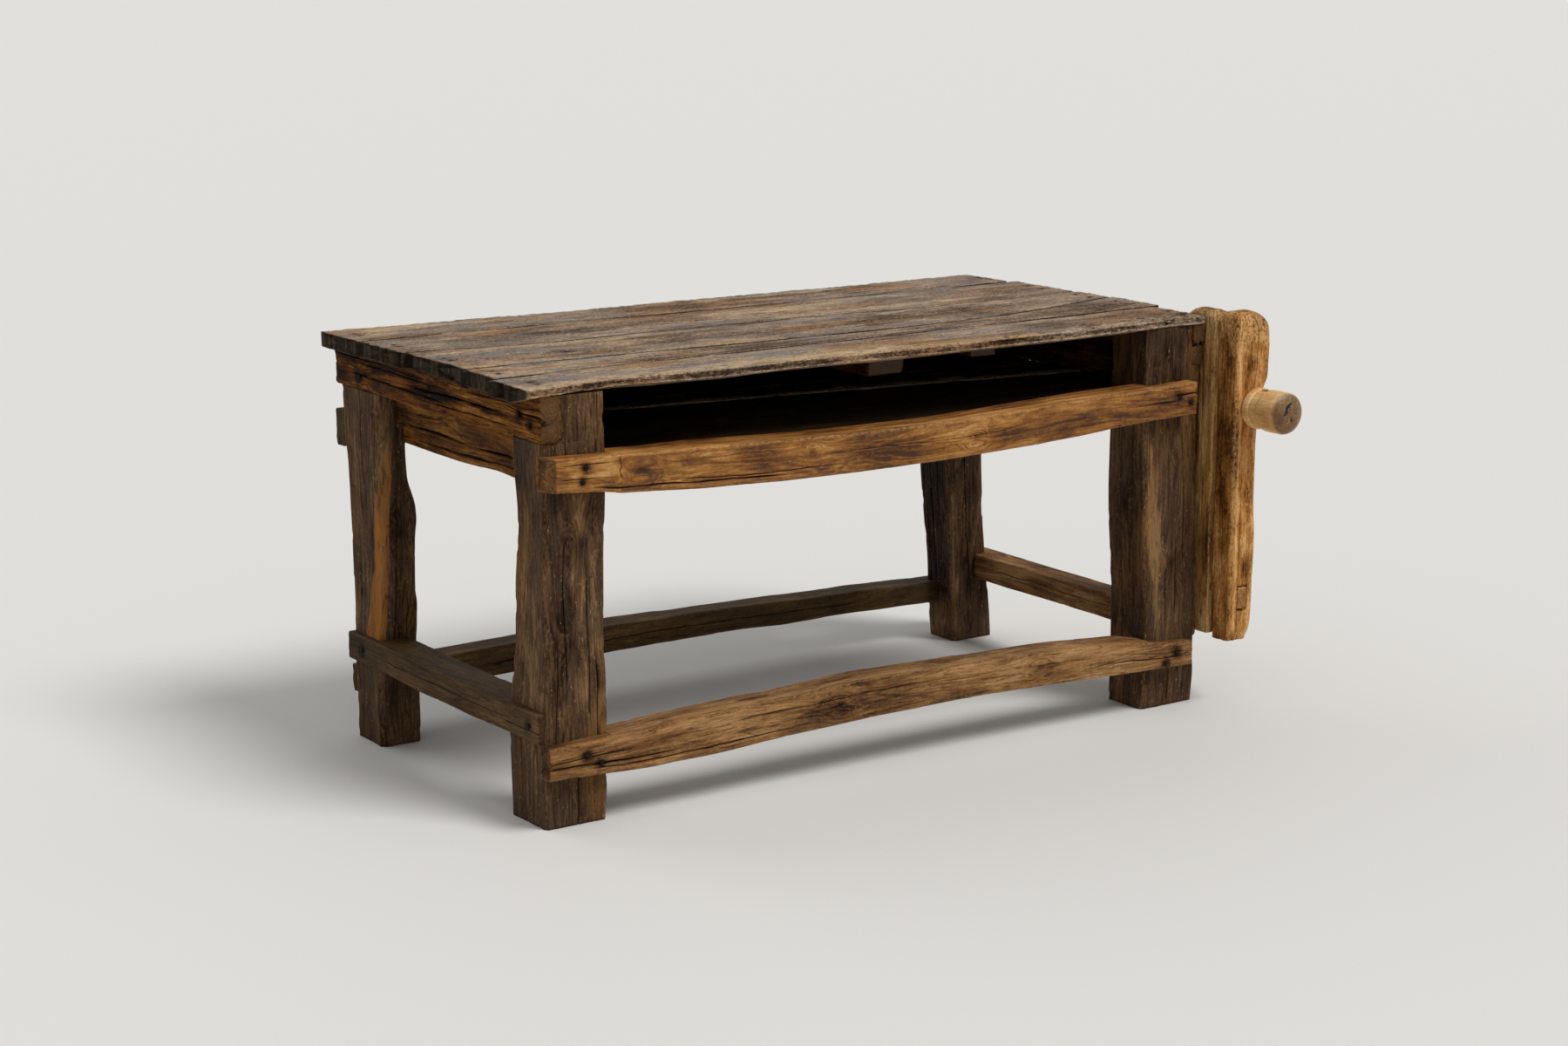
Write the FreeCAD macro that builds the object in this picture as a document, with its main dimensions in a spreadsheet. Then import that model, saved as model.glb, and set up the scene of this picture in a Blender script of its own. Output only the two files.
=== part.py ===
import FreeCAD, Part
import Sketcher
import os

# A rustic joiner's bench with a leg vise, in millimetres.
# Every place is first given in the bench's own frame: across runs from the left legs' outer face,
# back runs from the front legs' face, and up runs from the floor. The last step of each placement
# moves that frame so that the middle of the whole footprint is at the origin.

SIZES = {
    # the bench as a whole
    "bench_length": 1530,
    "bench_depth": 765,
    "top_height": 800,
    "fit_gap": 0.5,
    "overrun": 5,
    # tabletop planks
    "plank_thickness": 30,
    "plank_gap": 3,
    "left_overhang": 34,
    "right_overhang": 30,
    "front_overhang": 18,
    "back_overhang": 50,
    # legs
    "front_left_width": 132,
    "front_left_depth": 114,
    "front_right_width": 145,
    "front_right_depth": 112,
    "back_left_width": 92,
    "back_left_depth": 155,
    "back_right_width": 138,
    "back_right_depth": 112,
    "leg_chamfer": 9,
    "foot_height": 235,
    "waist_height": 410,
    "shoulder_drop": 200,
    "foot_setback": 18,
    "back_right_lean": 26,
    # end rails let into the tops of the legs
    "end_rail_thickness": 41,
    "end_rail_height": 70,
    "end_rail_proud": 8,
    "end_rail_front": 3,
    "end_rail_back": 24,
    # front upper rail, sagging in the middle
    "front_rail_lap": 38,
    "front_rail_depth": 76,
    "front_rail_inset": 4,
    "front_rail_right_inset": 20,
    "front_rail_left_drop": 90,
    "front_rail_left_height": 63,
    "front_rail_right_drop": 98,
    "front_rail_right_height": 68,
    "front_rail_low_sag": 25,
    "front_rail_top_sag": 17,
    # back upper rail
    "back_rail_lap": 33,
    "back_rail_depth": 72,
    "back_rail_drop": 120,
    "back_rail_height": 73,
    "back_rail_left": 2,
    "back_rail_right": 28,
    # front lower stretcher, bowed upwards
    "front_stretcher_lap": 34,
    "front_stretcher_depth": 74,
    "front_stretcher_left": 12,
    "front_stretcher_right": 12,
    "front_stretcher_left_low": 102,
    "front_stretcher_left_top": 157,
    "front_stretcher_right_low": 84,
    "front_stretcher_right_top": 134,
    "front_stretcher_low_rise": 14,
    "front_stretcher_top_rise": 37,
    # back lower stretcher
    "back_stretcher_lap": 34,
    "back_stretcher_depth": 72,
    "back_stretcher_low": 70,
    "back_stretcher_height": 76,
    "back_stretcher_left": 12,
    "back_stretcher_right": 6,
    "back_stretcher_rise": 8,
    # side stretchers
    "left_stretcher_proud": 12,
    "left_stretcher_lap": 34,
    "left_stretcher_thickness": 74,
    "left_stretcher_low": 160,
    "left_stretcher_height": 56,
    "right_stretcher_lap": 30,
    "right_stretcher_thickness": 62,
    "right_stretcher_low": 137,
    "right_stretcher_height": 56,
    "side_stretcher_end": 2,
    # compartment under the top
    "bearer_thickness": 40,
    "bearer_height": 40,
    "bearer_drop": 133,
    "bearer_inset": 56,
    "inner_board_thickness": 20,
    "inner_board_lift": 4,
    "shelf_thickness": 18,
    "shelf_inset": 66,
    "shelf_gap": 3,
    "shelf_light_gap": 10,
    "back_board_thickness": 20,
    "back_board_inset": 92,
    # battens under the top
    "wide_batten_place": 763,
    "wide_batten_width": 84,
    "wide_batten_thickness": 34,
    "wide_batten_chamfer": 14,
    "narrow_batten_place": 1008,
    "narrow_batten_width": 62,
    "narrow_batten_thickness": 20,
    "batten_front": 84,
    "batten_back_clear": 70,
    # vise, fixed jaw
    "jaw_width": 104,
    "jaw_depth": 90,
    "jaw_front": 30,
    "jaw_low": 147,
    "jaw_proud": 12,
    "jaw_round": 26,
    # vise, moving jaw
    "chop_offset": 10,
    "chop_thickness": 56,
    "chop_low": 137,
    "chop_proud": 12,
    "chop_top_width": 88,
    "chop_screw_width": 86,
    "chop_waist_width": 66,
    "chop_foot_width": 56,
    "chop_round": 20,
    "jaw_gap": 0.5,
    # vise screw
    "screw_offset": 65,
    "screw_drop": 183,
    "screw_radius": 18,
    "screw_clearance": 0.08,
    "head_radius": 43,
    "head_waist_radius": 40,
    "head_length": 84,
    "head_waist_place": 28,
    "head_waist_half": 12,
    "head_dome": 13,
    "head_gap": 0.4,
    "tommy_radius": 11,
    "groove_radius": 13,
    "groove_width": 10,
    "groove_place": 26,
    "screw_tail": 12,
    "vise_travel": 150,
    # garter key that holds the screw in the moving jaw
    "key_height": 42,
    "key_clearance": 0.3,
    "key_reach": 18,
    # parallel guide
    "guide_width": 22,
    "guide_height": 44,
    "guide_offset": 32,
    "guide_low": 205,
    "guide_clearance": 0.6,
    "guide_tail": 30,
    "guide_peg_radius": 6,
    "guide_peg_length": 64,
    # nails and spikes
    "nail_radius": 2.5,
    "nail_tip_radius": 1.2,
    "nail_length": 66,
    "nail_head_radius": 5.5,
    "nail_head_crown_radius": 2.5,
    "nail_head_height": 2.2,
    "board_nail_length": 50,
    "nail_inset": 30,
}

document = FreeCAD.newDocument("workbench")
sheet = document.addObject("Spreadsheet::Sheet", "sizes")
for row, (alias, number) in enumerate(SIZES.items(), start=1):
    sheet.set(f"A{row}", alias)
    sheet.set(f"B{row}", str(number))
    sheet.setAlias(f"B{row}", alias)
document.recompute()


def named(text):
    """Turns words such as `bench_length - plank_gap` into an expression that reads the sheet."""
    words = []
    for word in text.replace("(", " ( ").replace(")", " ) ").split():
        words.append(f"sizes.{word}" if word in SIZES else word)
    return " ".join(words).replace("abs (", "abs(")


def value(text):
    return float(sheet.evalExpression(named(text)))


def bind(item, field, text):
    item.setExpression(field, named(text))


# The vise hangs on the right end rail, and its screw keeps its place below the top.
RIGHT_RAIL_FACE = "( bench_length + end_rail_proud )"
CHOP_LEFT = f"( {RIGHT_RAIL_FACE} + chop_offset )"
CHOP_TOP = "( top_height + chop_proud )"
SCREW_ACROSS = f"( {RIGHT_RAIL_FACE} + screw_offset )"
SCREW_HEIGHT = "( top_height - screw_drop )"
GUIDE_ACROSS = f"( {RIGHT_RAIL_FACE} + guide_offset )"

# The middle of the footprint, vise included, in the bench's own frame.
FRONT_REACH = "( jaw_front + jaw_gap + chop_thickness + head_gap + head_length + head_dome )"
BACK_REACH = "( bench_depth + back_overhang )"
MIDDLE_ACROSS = f"( ( {SCREW_ACROSS} + head_radius - left_overhang ) / 2 )"
MIDDLE_BACK = f"( ( {BACK_REACH} - {FRONT_REACH} ) / 2 )"

# Shared places in the bench's frame.
UNDERSIDE = "( top_height - plank_thickness )"
END_RAIL_LOW = f"( {UNDERSIDE} - end_rail_height )"
RIGHT_RAIL_INNER = f"( {RIGHT_RAIL_FACE} - end_rail_thickness )"
SHOULDER_HEIGHT = f"( {UNDERSIDE} - shoulder_drop )"
FRONT_RAIL_LEFT_TOP = f"( {UNDERSIDE} - front_rail_left_drop )"
FRONT_RAIL_LEFT_LOW = f"( {FRONT_RAIL_LEFT_TOP} - front_rail_left_height )"
FRONT_RAIL_RIGHT_TOP = f"( {UNDERSIDE} - front_rail_right_drop )"
FRONT_RAIL_RIGHT_LOW = f"( {FRONT_RAIL_RIGHT_TOP} - front_rail_right_height )"
BACK_RAIL_LOW = f"( {UNDERSIDE} - back_rail_drop - back_rail_height )"
BEARER_LOW = f"( {UNDERSIDE} - bearer_drop - bearer_height )"
INNER_BOARD_LOW = f"( {BEARER_LOW} + bearer_height + inner_board_lift )"
FOOT_BACK = "( bench_depth - foot_setback )"
JAW_FACE = "( 0 - jaw_front )"
CHOP_BACK = f"( {JAW_FACE} - jaw_gap )"
CHOP_FRONT = f"( {CHOP_BACK} - chop_thickness )"

bases = {}
nodes = []


def new_body(name, base):
    """A sub-part whose own frame starts at `base`, a place in the bench's frame."""
    body = document.addObject("PartDesign::Body", name)
    body.Label = name
    bases[name] = base
    bind(body, "Placement.Base.x", f"{base[0]} - {MIDDLE_ACROSS}")
    bind(body, "Placement.Base.y", f"{base[1]} - {MIDDLE_BACK}")
    bind(body, "Placement.Base.z", base[2])
    nodes.append(body)
    return body


def flat_sketch(body, name, role, offset="0"):
    sketch = body.newObject("Sketcher::SketchObject", name)
    plane = next(item for item in body.Origin.OriginFeatures if item.Role == role)
    sketch.AttachmentSupport = [(plane, "")]
    sketch.MapMode = "FlatFace"
    bind(sketch, "AttachmentOffset.Base.z", offset)
    return sketch


def outline(sketch, corners):
    """Closes an outline through `corners`, each (x, y) or (x, y, rise).

    A rise makes the side that starts at that corner an arc, standing out to the left of its way."""
    count = len(corners)
    spots = [FreeCAD.Vector(value(corner[0]), value(corner[1]), 0) for corner in corners]
    starts = []
    for index, corner in enumerate(corners):
        begin = spots[index]
        finish = spots[(index + 1) % count]
        if len(corner) == 2:
            sketch.addGeometry(Part.LineSegment(begin, finish))
            starts.append((1, 2))
            continue
        way = (finish - begin).normalize()
        crown = (begin + finish) * 0.5 + FreeCAD.Vector(-way.y, way.x, 0) * value(corner[2])
        if value(corner[2]) > 0:
            sketch.addGeometry(Part.Arc(finish, crown, begin))
            starts.append((2, 1))
        else:
            sketch.addGeometry(Part.Arc(begin, crown, finish))
            starts.append((1, 2))
    for index in range(count):
        after = (index + 1) % count
        sketch.addConstraint(
            Sketcher.Constraint("Coincident", index, starts[index][1], after, starts[after][0])
        )
    for index, corner in enumerate(corners):
        for kind, text, length in (
            ("DistanceX", corner[0], spots[index].x),
            ("DistanceY", corner[1], spots[index].y),
        ):
            number = sketch.addConstraint(
                Sketcher.Constraint(kind, -1, 1, index, starts[index][0], length)
            )
            bind(sketch, f"Constraints[{number}]", text)
        if len(corner) == 3:
            after = corners[(index + 1) % count]
            chord = f"( ( {after[0]} - {corner[0]} ) ^ 2 + ( {after[1]} - {corner[1]} ) ^ 2 )"
            rise = f"abs( {corner[2]} )"
            radius = f"( {chord} / 4 + {rise} ^ 2 ) / ( 2 * {rise} )"
            number = sketch.addConstraint(Sketcher.Constraint("Radius", index, value(radius)))
            bind(sketch, f"Constraints[{number}]", radius)


def pad(body, sketch, length, backwards=False):
    feature = body.newObject("PartDesign::Pad", f"{sketch.Name}_pad")
    feature.Profile = sketch
    feature.Reversed = backwards
    bind(feature, "Length", length)
    return feature


def cut_box(body, name, low, high):
    """Cuts a box whose low and high corners are places in the bench's frame."""
    cut = body.newObject("PartDesign::SubtractiveBox", f"{body.Name}_{name}")
    base = bases[body.Name]
    for edge, axis, number in (("Length", "x", 0), ("Width", "y", 1), ("Height", "z", 2)):
        bind(cut, edge, f"( {high[number]} ) - ( {low[number]} )")
        bind(cut, f"Placement.Base.{axis}", f"( {low[number]} ) - ( {base[number]} )")


def cut_bore(body, name, start, radius, length, turn):
    """Cuts a round hole that starts at a place in the bench's frame and runs along a turned Z."""
    cut = body.newObject("PartDesign::SubtractiveCylinder", f"{body.Name}_{name}")
    cut.Placement = FreeCAD.Placement(FreeCAD.Vector(), turn)
    base = bases[body.Name]
    for axis, number in (("x", 0), ("y", 1), ("z", 2)):
        bind(cut, f"Placement.Base.{axis}", f"( {start[number]} ) - ( {base[number]} )")
    bind(cut, "Radius", radius)
    bind(cut, "Height", length)


def straight_piece(name, low, high):
    """A sawn piece with square ends, from its low corner to its high corner."""
    body = new_body(name, low)
    sketch = flat_sketch(body, f"{name}_outline", "XY_Plane")
    across = f"( {high[0]} - ( {low[0]} ) )"
    back = f"( {high[1]} - ( {low[1]} ) )"
    outline(sketch, [("0", "0"), (across, "0"), (across, back), ("0", back)])
    pad(body, sketch, f"{high[2]} - ( {low[2]} )")
    return body


# Directions of round holes and of nails: from Z to each way that is used.
TO_BACK = FreeCAD.Rotation(FreeCAD.Vector(1, 0, 0), -90)
TO_FRONT = FreeCAD.Rotation(FreeCAD.Vector(1, 0, 0), 90)
TO_RIGHT = FreeCAD.Rotation(FreeCAD.Vector(0, 1, 0), 90)
TO_LEFT = FreeCAD.Rotation(FreeCAD.Vector(0, 1, 0), -90)
UPWARD = FreeCAD.Rotation()
DOWNWARD = FreeCAD.Rotation(FreeCAD.Vector(1, 0, 0), 180)


# Tabletop planks
# Old wedge-shaped boards of unequal length, laid with open joints. Each joint line is a list of
# shares of the top's length and depth, and each plank lies between two lines.
JOINT_SHARES = [
    ((0, 0), (0.5, 0.004), (1, 0.008)),
    ((0, 0.18), (0.5, 0.196), (1, 0.214)),
    ((0, 0.328), (0.57, 0.286), (0.76, 0.3), (1, 0.397)),
    ((0, 0.607), (0.21, 0.551), (0.61, 0.537), (0.74, 0.511), (1, 0.521)),
    ((0, 0.808), (0.83, 0.76), (1, 0.77)),
    ((0, 1), (0.5, 0.955), (1, 0.94)),
]
# How far each plank's ends stay inside the top's full length, left end then right end.
END_SHARES = [(0.004, 0.0155), (0.011, 0), (0.007, 0.002), (0.002, 0.008), (0, 0.02)]
TOP_LENGTH = "( left_overhang + bench_length + right_overhang )"
TOP_DEPTH = f"( front_overhang + {BACK_REACH} )"

for number, (left_share, right_share) in enumerate(END_SHARES):
    plank = new_body(f"top_plank_{number + 1}", ("( 0 - left_overhang )", "( 0 - front_overhang )", UNDERSIDE))
    near = JOINT_SHARES[number]
    far = JOINT_SHARES[number + 1]
    near_gap = "plank_gap / 2" if number else "0"
    far_gap = "plank_gap / 2" if number < len(END_SHARES) - 1 else "0"

    def along(share, left_share=left_share, right_share=right_share):
        """A plank's own place along the top, drawn in at its two ends."""
        inside = left_share if share == 0 else share
        inside = 1 - right_share if share == 1 else inside
        return f"( {TOP_LENGTH} * {inside} )"

    corners = [(along(a), f"( {TOP_DEPTH} * {b} + {near_gap} )") for a, b in near]
    corners += [(along(a), f"( {TOP_DEPTH} * {b} - {far_gap} )") for a, b in reversed(far)]
    sketch = flat_sketch(plank, f"top_plank_{number + 1}_outline", "XY_Plane")
    outline(sketch, corners)
    pad(plank, sketch, "plank_thickness")
    if number == 0:
        cut_box(
            plank,
            "jaw_clearance",
            (f"{RIGHT_RAIL_FACE} - fit_gap", "( 0 - front_overhang - overrun )", f"{UNDERSIDE} - overrun"),
            ("bench_length + right_overhang + overrun", "jaw_depth - jaw_front + fit_gap", "top_height + overrun"),
        )


# Legs
# Hewn posts that swell and narrow between their joints. Each leg has three shapes, at the foot, the
# waist and the shoulder, given as the shares of its width and depth where the four sides lie.
LEG_SHARES = {
    "front_left": ((0, 0.95, 0, 1), (0, 0.93, 0.02, 0.88), (0, 1, 0, 0.95)),
    "front_right": ((0.1, 1, 0, 0.98), (0.02, 0.97, 0, 1), (0, 0.93, 0, 0.97)),
    "back_left": ((0, 0.94, 0.17, None), (0, 0.83, 0, 0.93), (0, 0.75, 0.08, 1)),
    "back_right": ((0.28, 1, 0.06, None), (0.1, 0.86, 0, 0.94), (0, None, 0, 1)),
}


def leg_section(sketch, shares, width, depth, end_shares):
    """An eight-sided section: the four sides with a worn chamfer at each corner."""
    left, right, front, rear = (
        end_shares[index] if share is None else str(share) for index, share in enumerate(shares)
    )
    west = f"( {width} * ( {left} ) )"
    east = f"( {width} * ( {right} ) )"
    south = f"( {depth} * ( {front} ) )"
    north = f"( {depth} * ( {rear} ) )"
    outline(
        sketch,
        [
            (f"{west} + leg_chamfer", south),
            (f"{east} - leg_chamfer", south),
            (east, f"{south} + leg_chamfer"),
            (east, f"{north} - leg_chamfer"),
            (f"{east} - leg_chamfer", north),
            (f"{west} + leg_chamfer", north),
            (west, f"{north} - leg_chamfer"),
            (west, f"{south} + leg_chamfer"),
        ],
    )


def make_leg(corner, across, back):
    name = f"{corner}_leg"
    width = f"{corner}_width"
    depth = f"{corner}_depth"
    leg = new_body(name, (across, back, "0"))
    foot, waist, shoulder = LEG_SHARES[corner]
    end_shares = {
        1: f"1 - back_right_lean / {width}",
        3: f"1 - foot_setback / {depth}",
    }
    heights = ("0", "foot_height", "waist_height", SHOULDER_HEIGHT, UNDERSIDE)
    sections = []
    for number, (height, shares) in enumerate(zip(heights, (foot, foot, waist, shoulder, shoulder))):
        sketch = flat_sketch(leg, f"{name}_section_{number}", "XY_Plane", height)
        leg_section(sketch, shares, width, depth, end_shares)
        sections.append(sketch)
    loft = leg.newObject("PartDesign::AdditiveLoft", f"{name}_loft")
    loft.Profile = sections[0]
    loft.Sections = sections[1:]
    loft.Ruled = True
    return leg


front_left_leg = make_leg("front_left", "0", "0")
front_right_leg = make_leg("front_right", "( bench_length - front_right_width )", "0")
back_left_leg = make_leg("back_left", "0", "( bench_depth - back_left_depth )")
back_right_leg = make_leg(
    "back_right", "( bench_length - back_right_width )", "( bench_depth - back_right_depth )"
)
document.recompute()

# The tops of the legs are cut back so that each end rail sits on a shoulder, and the side
# stretchers are let in by what their laps don't stand proud.
LEFT_LAP_INNER = "( left_stretcher_lap - left_stretcher_proud )"
RIGHT_LAP_INNER = f"( {RIGHT_RAIL_FACE} - right_stretcher_lap )"
for leg in (front_left_leg, back_left_leg):
    cut_box(
        leg,
        "end_rail_notch",
        ("( 0 - overrun )", "( 0 - overrun )", END_RAIL_LOW),
        ("end_rail_thickness", "bench_depth + overrun", f"{UNDERSIDE} + overrun"),
    )
    cut_box(
        leg,
        "stretcher_notch",
        ("( 0 - overrun )", "( 0 - overrun )", "left_stretcher_low"),
        (LEFT_LAP_INNER, "bench_depth + overrun", "left_stretcher_low + left_stretcher_height"),
    )
for leg in (front_right_leg, back_right_leg):
    cut_box(
        leg,
        "end_rail_notch",
        (RIGHT_RAIL_INNER, "( 0 - overrun )", END_RAIL_LOW),
        ("bench_length + overrun", "bench_depth + overrun", f"{UNDERSIDE} + overrun"),
    )
    cut_box(
        leg,
        "stretcher_notch",
        (RIGHT_LAP_INNER, "( 0 - overrun )", "right_stretcher_low"),
        ("bench_length + overrun", "bench_depth + overrun", "right_stretcher_low + right_stretcher_height"),
    )


# End rails
straight_piece(
    "left_end_rail",
    ("0", "( 0 - end_rail_front )", END_RAIL_LOW),
    ("end_rail_thickness", "( bench_depth + end_rail_back )", UNDERSIDE),
)
straight_piece(
    "right_end_rail",
    (RIGHT_RAIL_INNER, "( 0 - end_rail_front )", END_RAIL_LOW),
    (RIGHT_RAIL_FACE, "( bench_depth + end_rail_back )", UNDERSIDE),
)


# Long rails and stretchers
# Each is thick between the legs and halved at its ends, so that a lap lies on the legs' faces.
def halve_ends(body, left_leg_face, right_leg_face, low_back, high_back):
    """Cuts the back half of both ends away, between two depths, up to the legs' inner sides."""
    cut_box(
        body,
        "left_halving",
        ("( 0 - bench_length )", low_back, "( 0 - overrun )"),
        (f"{left_leg_face} + fit_gap", high_back, "top_height"),
    )
    cut_box(
        body,
        "right_halving",
        (f"{right_leg_face} - fit_gap", low_back, "( 0 - overrun )"),
        ("bench_length * 2", high_back, "top_height"),
    )


def foot_side(corner, side):
    """Where a leg's inner side lies at foot height, from its own width."""
    share = LEG_SHARES[corner][0][side]
    return f"( {corner}_width * {share} )"


FRONT_LEFT_FACE = "front_left_width"
FRONT_RIGHT_FACE = "( bench_length - front_right_width )"
BACK_LEFT_FACE = "back_left_width"
BACK_RIGHT_FACE = "( bench_length - back_right_width )"

front_rail = new_body("front_upper_rail", ("front_rail_inset", "( 0 - front_rail_lap )", "0"))
FRONT_RAIL_LENGTH = "( bench_length - front_rail_inset - front_rail_right_inset )"
sketch = flat_sketch(front_rail, "front_upper_rail_outline", "XZ_Plane")
outline(
    sketch,
    [
        ("0", f"{FRONT_RAIL_LEFT_LOW}", "( 0 - front_rail_low_sag )"),
        (FRONT_RAIL_LENGTH, f"{FRONT_RAIL_RIGHT_LOW}"),
        (FRONT_RAIL_LENGTH, f"{FRONT_RAIL_RIGHT_TOP}", "front_rail_top_sag"),
        ("0", f"{FRONT_RAIL_LEFT_TOP}"),
    ],
)
pad(front_rail, sketch, "front_rail_depth", backwards=True)
halve_ends(front_rail, FRONT_LEFT_FACE, FRONT_RIGHT_FACE, "0", "front_rail_depth")

BACK_RAIL_FACE = "( bench_depth + back_rail_lap )"
back_rail = straight_piece(
    "back_upper_rail",
    ("back_rail_left", f"( {BACK_RAIL_FACE} - back_rail_depth )", f"{BACK_RAIL_LOW}"),
    ("( bench_length - back_rail_right )", BACK_RAIL_FACE, f"( {BACK_RAIL_LOW} + back_rail_height )"),
)
halve_ends(
    back_rail, BACK_LEFT_FACE, BACK_RIGHT_FACE, "bench_depth - back_rail_depth", "bench_depth"
)

front_stretcher = new_body(
    "front_lower_stretcher", ("( 0 - front_stretcher_left )", "( 0 - front_stretcher_lap )", "0")
)
FRONT_STRETCHER_LENGTH = "( front_stretcher_left + bench_length - front_stretcher_right )"
sketch = flat_sketch(front_stretcher, "front_lower_stretcher_outline", "XZ_Plane")
outline(
    sketch,
    [
        ("0", "front_stretcher_left_low", "front_stretcher_low_rise"),
        (FRONT_STRETCHER_LENGTH, "front_stretcher_right_low"),
        (FRONT_STRETCHER_LENGTH, "front_stretcher_right_top", "( 0 - front_stretcher_top_rise )"),
        ("0", "front_stretcher_left_top"),
    ],
)
pad(front_stretcher, sketch, "front_stretcher_depth", backwards=True)
halve_ends(
    front_stretcher,
    foot_side("front_left", 1),
    f"( {FRONT_RIGHT_FACE} + {foot_side('front_right', 0)} )",
    "0",
    "front_stretcher_depth",
)

BACK_STRETCHER_FACE = f"( {FOOT_BACK} + back_stretcher_lap )"
back_stretcher = new_body(
    "back_lower_stretcher",
    ("back_stretcher_left", f"( {BACK_STRETCHER_FACE} - back_stretcher_depth )", "back_stretcher_low"),
)
BACK_STRETCHER_LENGTH = "( bench_length - back_stretcher_left - back_stretcher_right )"
sketch = flat_sketch(back_stretcher, "back_lower_stretcher_outline", "XZ_Plane")
outline(
    sketch,
    [
        ("0", "0", "back_stretcher_rise"),
        (BACK_STRETCHER_LENGTH, "0"),
        (BACK_STRETCHER_LENGTH, "back_stretcher_height", "( 0 - back_stretcher_rise )"),
        ("0", "back_stretcher_height"),
    ],
)
pad(back_stretcher, sketch, "back_stretcher_depth", backwards=True)
halve_ends(
    back_stretcher,
    foot_side("back_left", 1),
    f"( {BACK_RIGHT_FACE} + {foot_side('back_right', 0)} )",
    f"{FOOT_BACK} - back_stretcher_depth",
    FOOT_BACK,
)


# Side stretchers
# The inner half of each end is cut away behind the lap, as on the long ones.
def halve_side(body, low_across, high_across, front_leg_back, back_leg_front):
    cut_box(
        body,
        "front_halving",
        (low_across, "( 0 - overrun )", "0"),
        (high_across, f"{front_leg_back} + fit_gap", "top_height"),
    )
    cut_box(
        body,
        "back_halving",
        (low_across, f"{back_leg_front} - fit_gap", "0"),
        (high_across, "bench_depth + overrun", "top_height"),
    )


left_stretcher = straight_piece(
    "left_lower_stretcher",
    ("( 0 - left_stretcher_proud )", "side_stretcher_end", "left_stretcher_low"),
    (
        "( left_stretcher_thickness - left_stretcher_proud )",
        f"( {FOOT_BACK} - side_stretcher_end )",
        "( left_stretcher_low + left_stretcher_height )",
    ),
)
halve_side(
    left_stretcher,
    LEFT_LAP_INNER,
    "left_stretcher_thickness",
    "front_left_depth",
    f"bench_depth - back_left_depth * ( 1 - {LEG_SHARES['back_left'][0][2]} )",
)
right_stretcher = straight_piece(
    "right_lower_stretcher",
    (f"( {RIGHT_RAIL_FACE} - right_stretcher_thickness )", "side_stretcher_end", "right_stretcher_low"),
    (
        RIGHT_RAIL_FACE,
        f"( {FOOT_BACK} - side_stretcher_end )",
        "( right_stretcher_low + right_stretcher_height )",
    ),
)
halve_side(
    right_stretcher,
    f"{RIGHT_RAIL_FACE} - right_stretcher_thickness - overrun",
    RIGHT_LAP_INNER,
    "front_right_depth",
    f"bench_depth - back_right_depth * ( 1 - {LEG_SHARES['back_right'][0][2]} )",
)


# Compartment under the top
# Two bearers span between the legs at each end, and the shelf boards lie on them. An inner board
# closes each end above the bearer, against the end rail.
def leg_back(corner):
    """Where the front leg of one side ends at shoulder height."""
    return f"( {corner}_depth * {LEG_SHARES[corner][2][3]} )"


def leg_front(corner):
    """Where the back leg of one side starts at shoulder height."""
    return f"( bench_depth - {corner}_depth * ( 1 - {LEG_SHARES[corner][2][2]} ) )"


SHELF_LOW = f"( {BEARER_LOW} + bearer_height )"
SHELF_TOP = f"( {SHELF_LOW} + shelf_thickness )"
straight_piece(
    "left_bearer",
    ("bearer_inset", leg_back("front_left"), f"{BEARER_LOW}"),
    ("( bearer_inset + bearer_thickness )", leg_front("back_left"), SHELF_LOW),
)
straight_piece(
    "right_bearer",
    ("( bench_length - bearer_inset - bearer_thickness )", leg_back("front_right"), f"{BEARER_LOW}"),
    ("( bench_length - bearer_inset )", leg_front("back_right"), SHELF_LOW),
)
straight_piece(
    "left_inner_board",
    ("end_rail_thickness", f"( {leg_back('front_left')} + fit_gap )", f"{INNER_BOARD_LOW}"),
    ("( end_rail_thickness + inner_board_thickness )", f"( {leg_front('back_left')} - fit_gap )", UNDERSIDE),
)
straight_piece(
    "right_inner_board",
    (
        f"( {RIGHT_RAIL_INNER} - inner_board_thickness )",
        f"( {leg_back('front_right')} + fit_gap )",
        f"{INNER_BOARD_LOW}",
    ),
    (RIGHT_RAIL_INNER, f"( {leg_front('back_right')} - fit_gap )", UNDERSIDE),
)

# Shelf boards, tapered like the planks of the top, with one wide gap that lets light through.
SHELF_FRONT = "( front_rail_depth - front_rail_lap + fit_gap )"
SHELF_BACK = f"( {BACK_RAIL_FACE} - back_rail_depth - fit_gap )"
SHELF_DEPTH = f"( {SHELF_BACK} - {SHELF_FRONT} )"
SHELF_LENGTH = "( bench_length - shelf_inset * 2 )"
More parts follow.
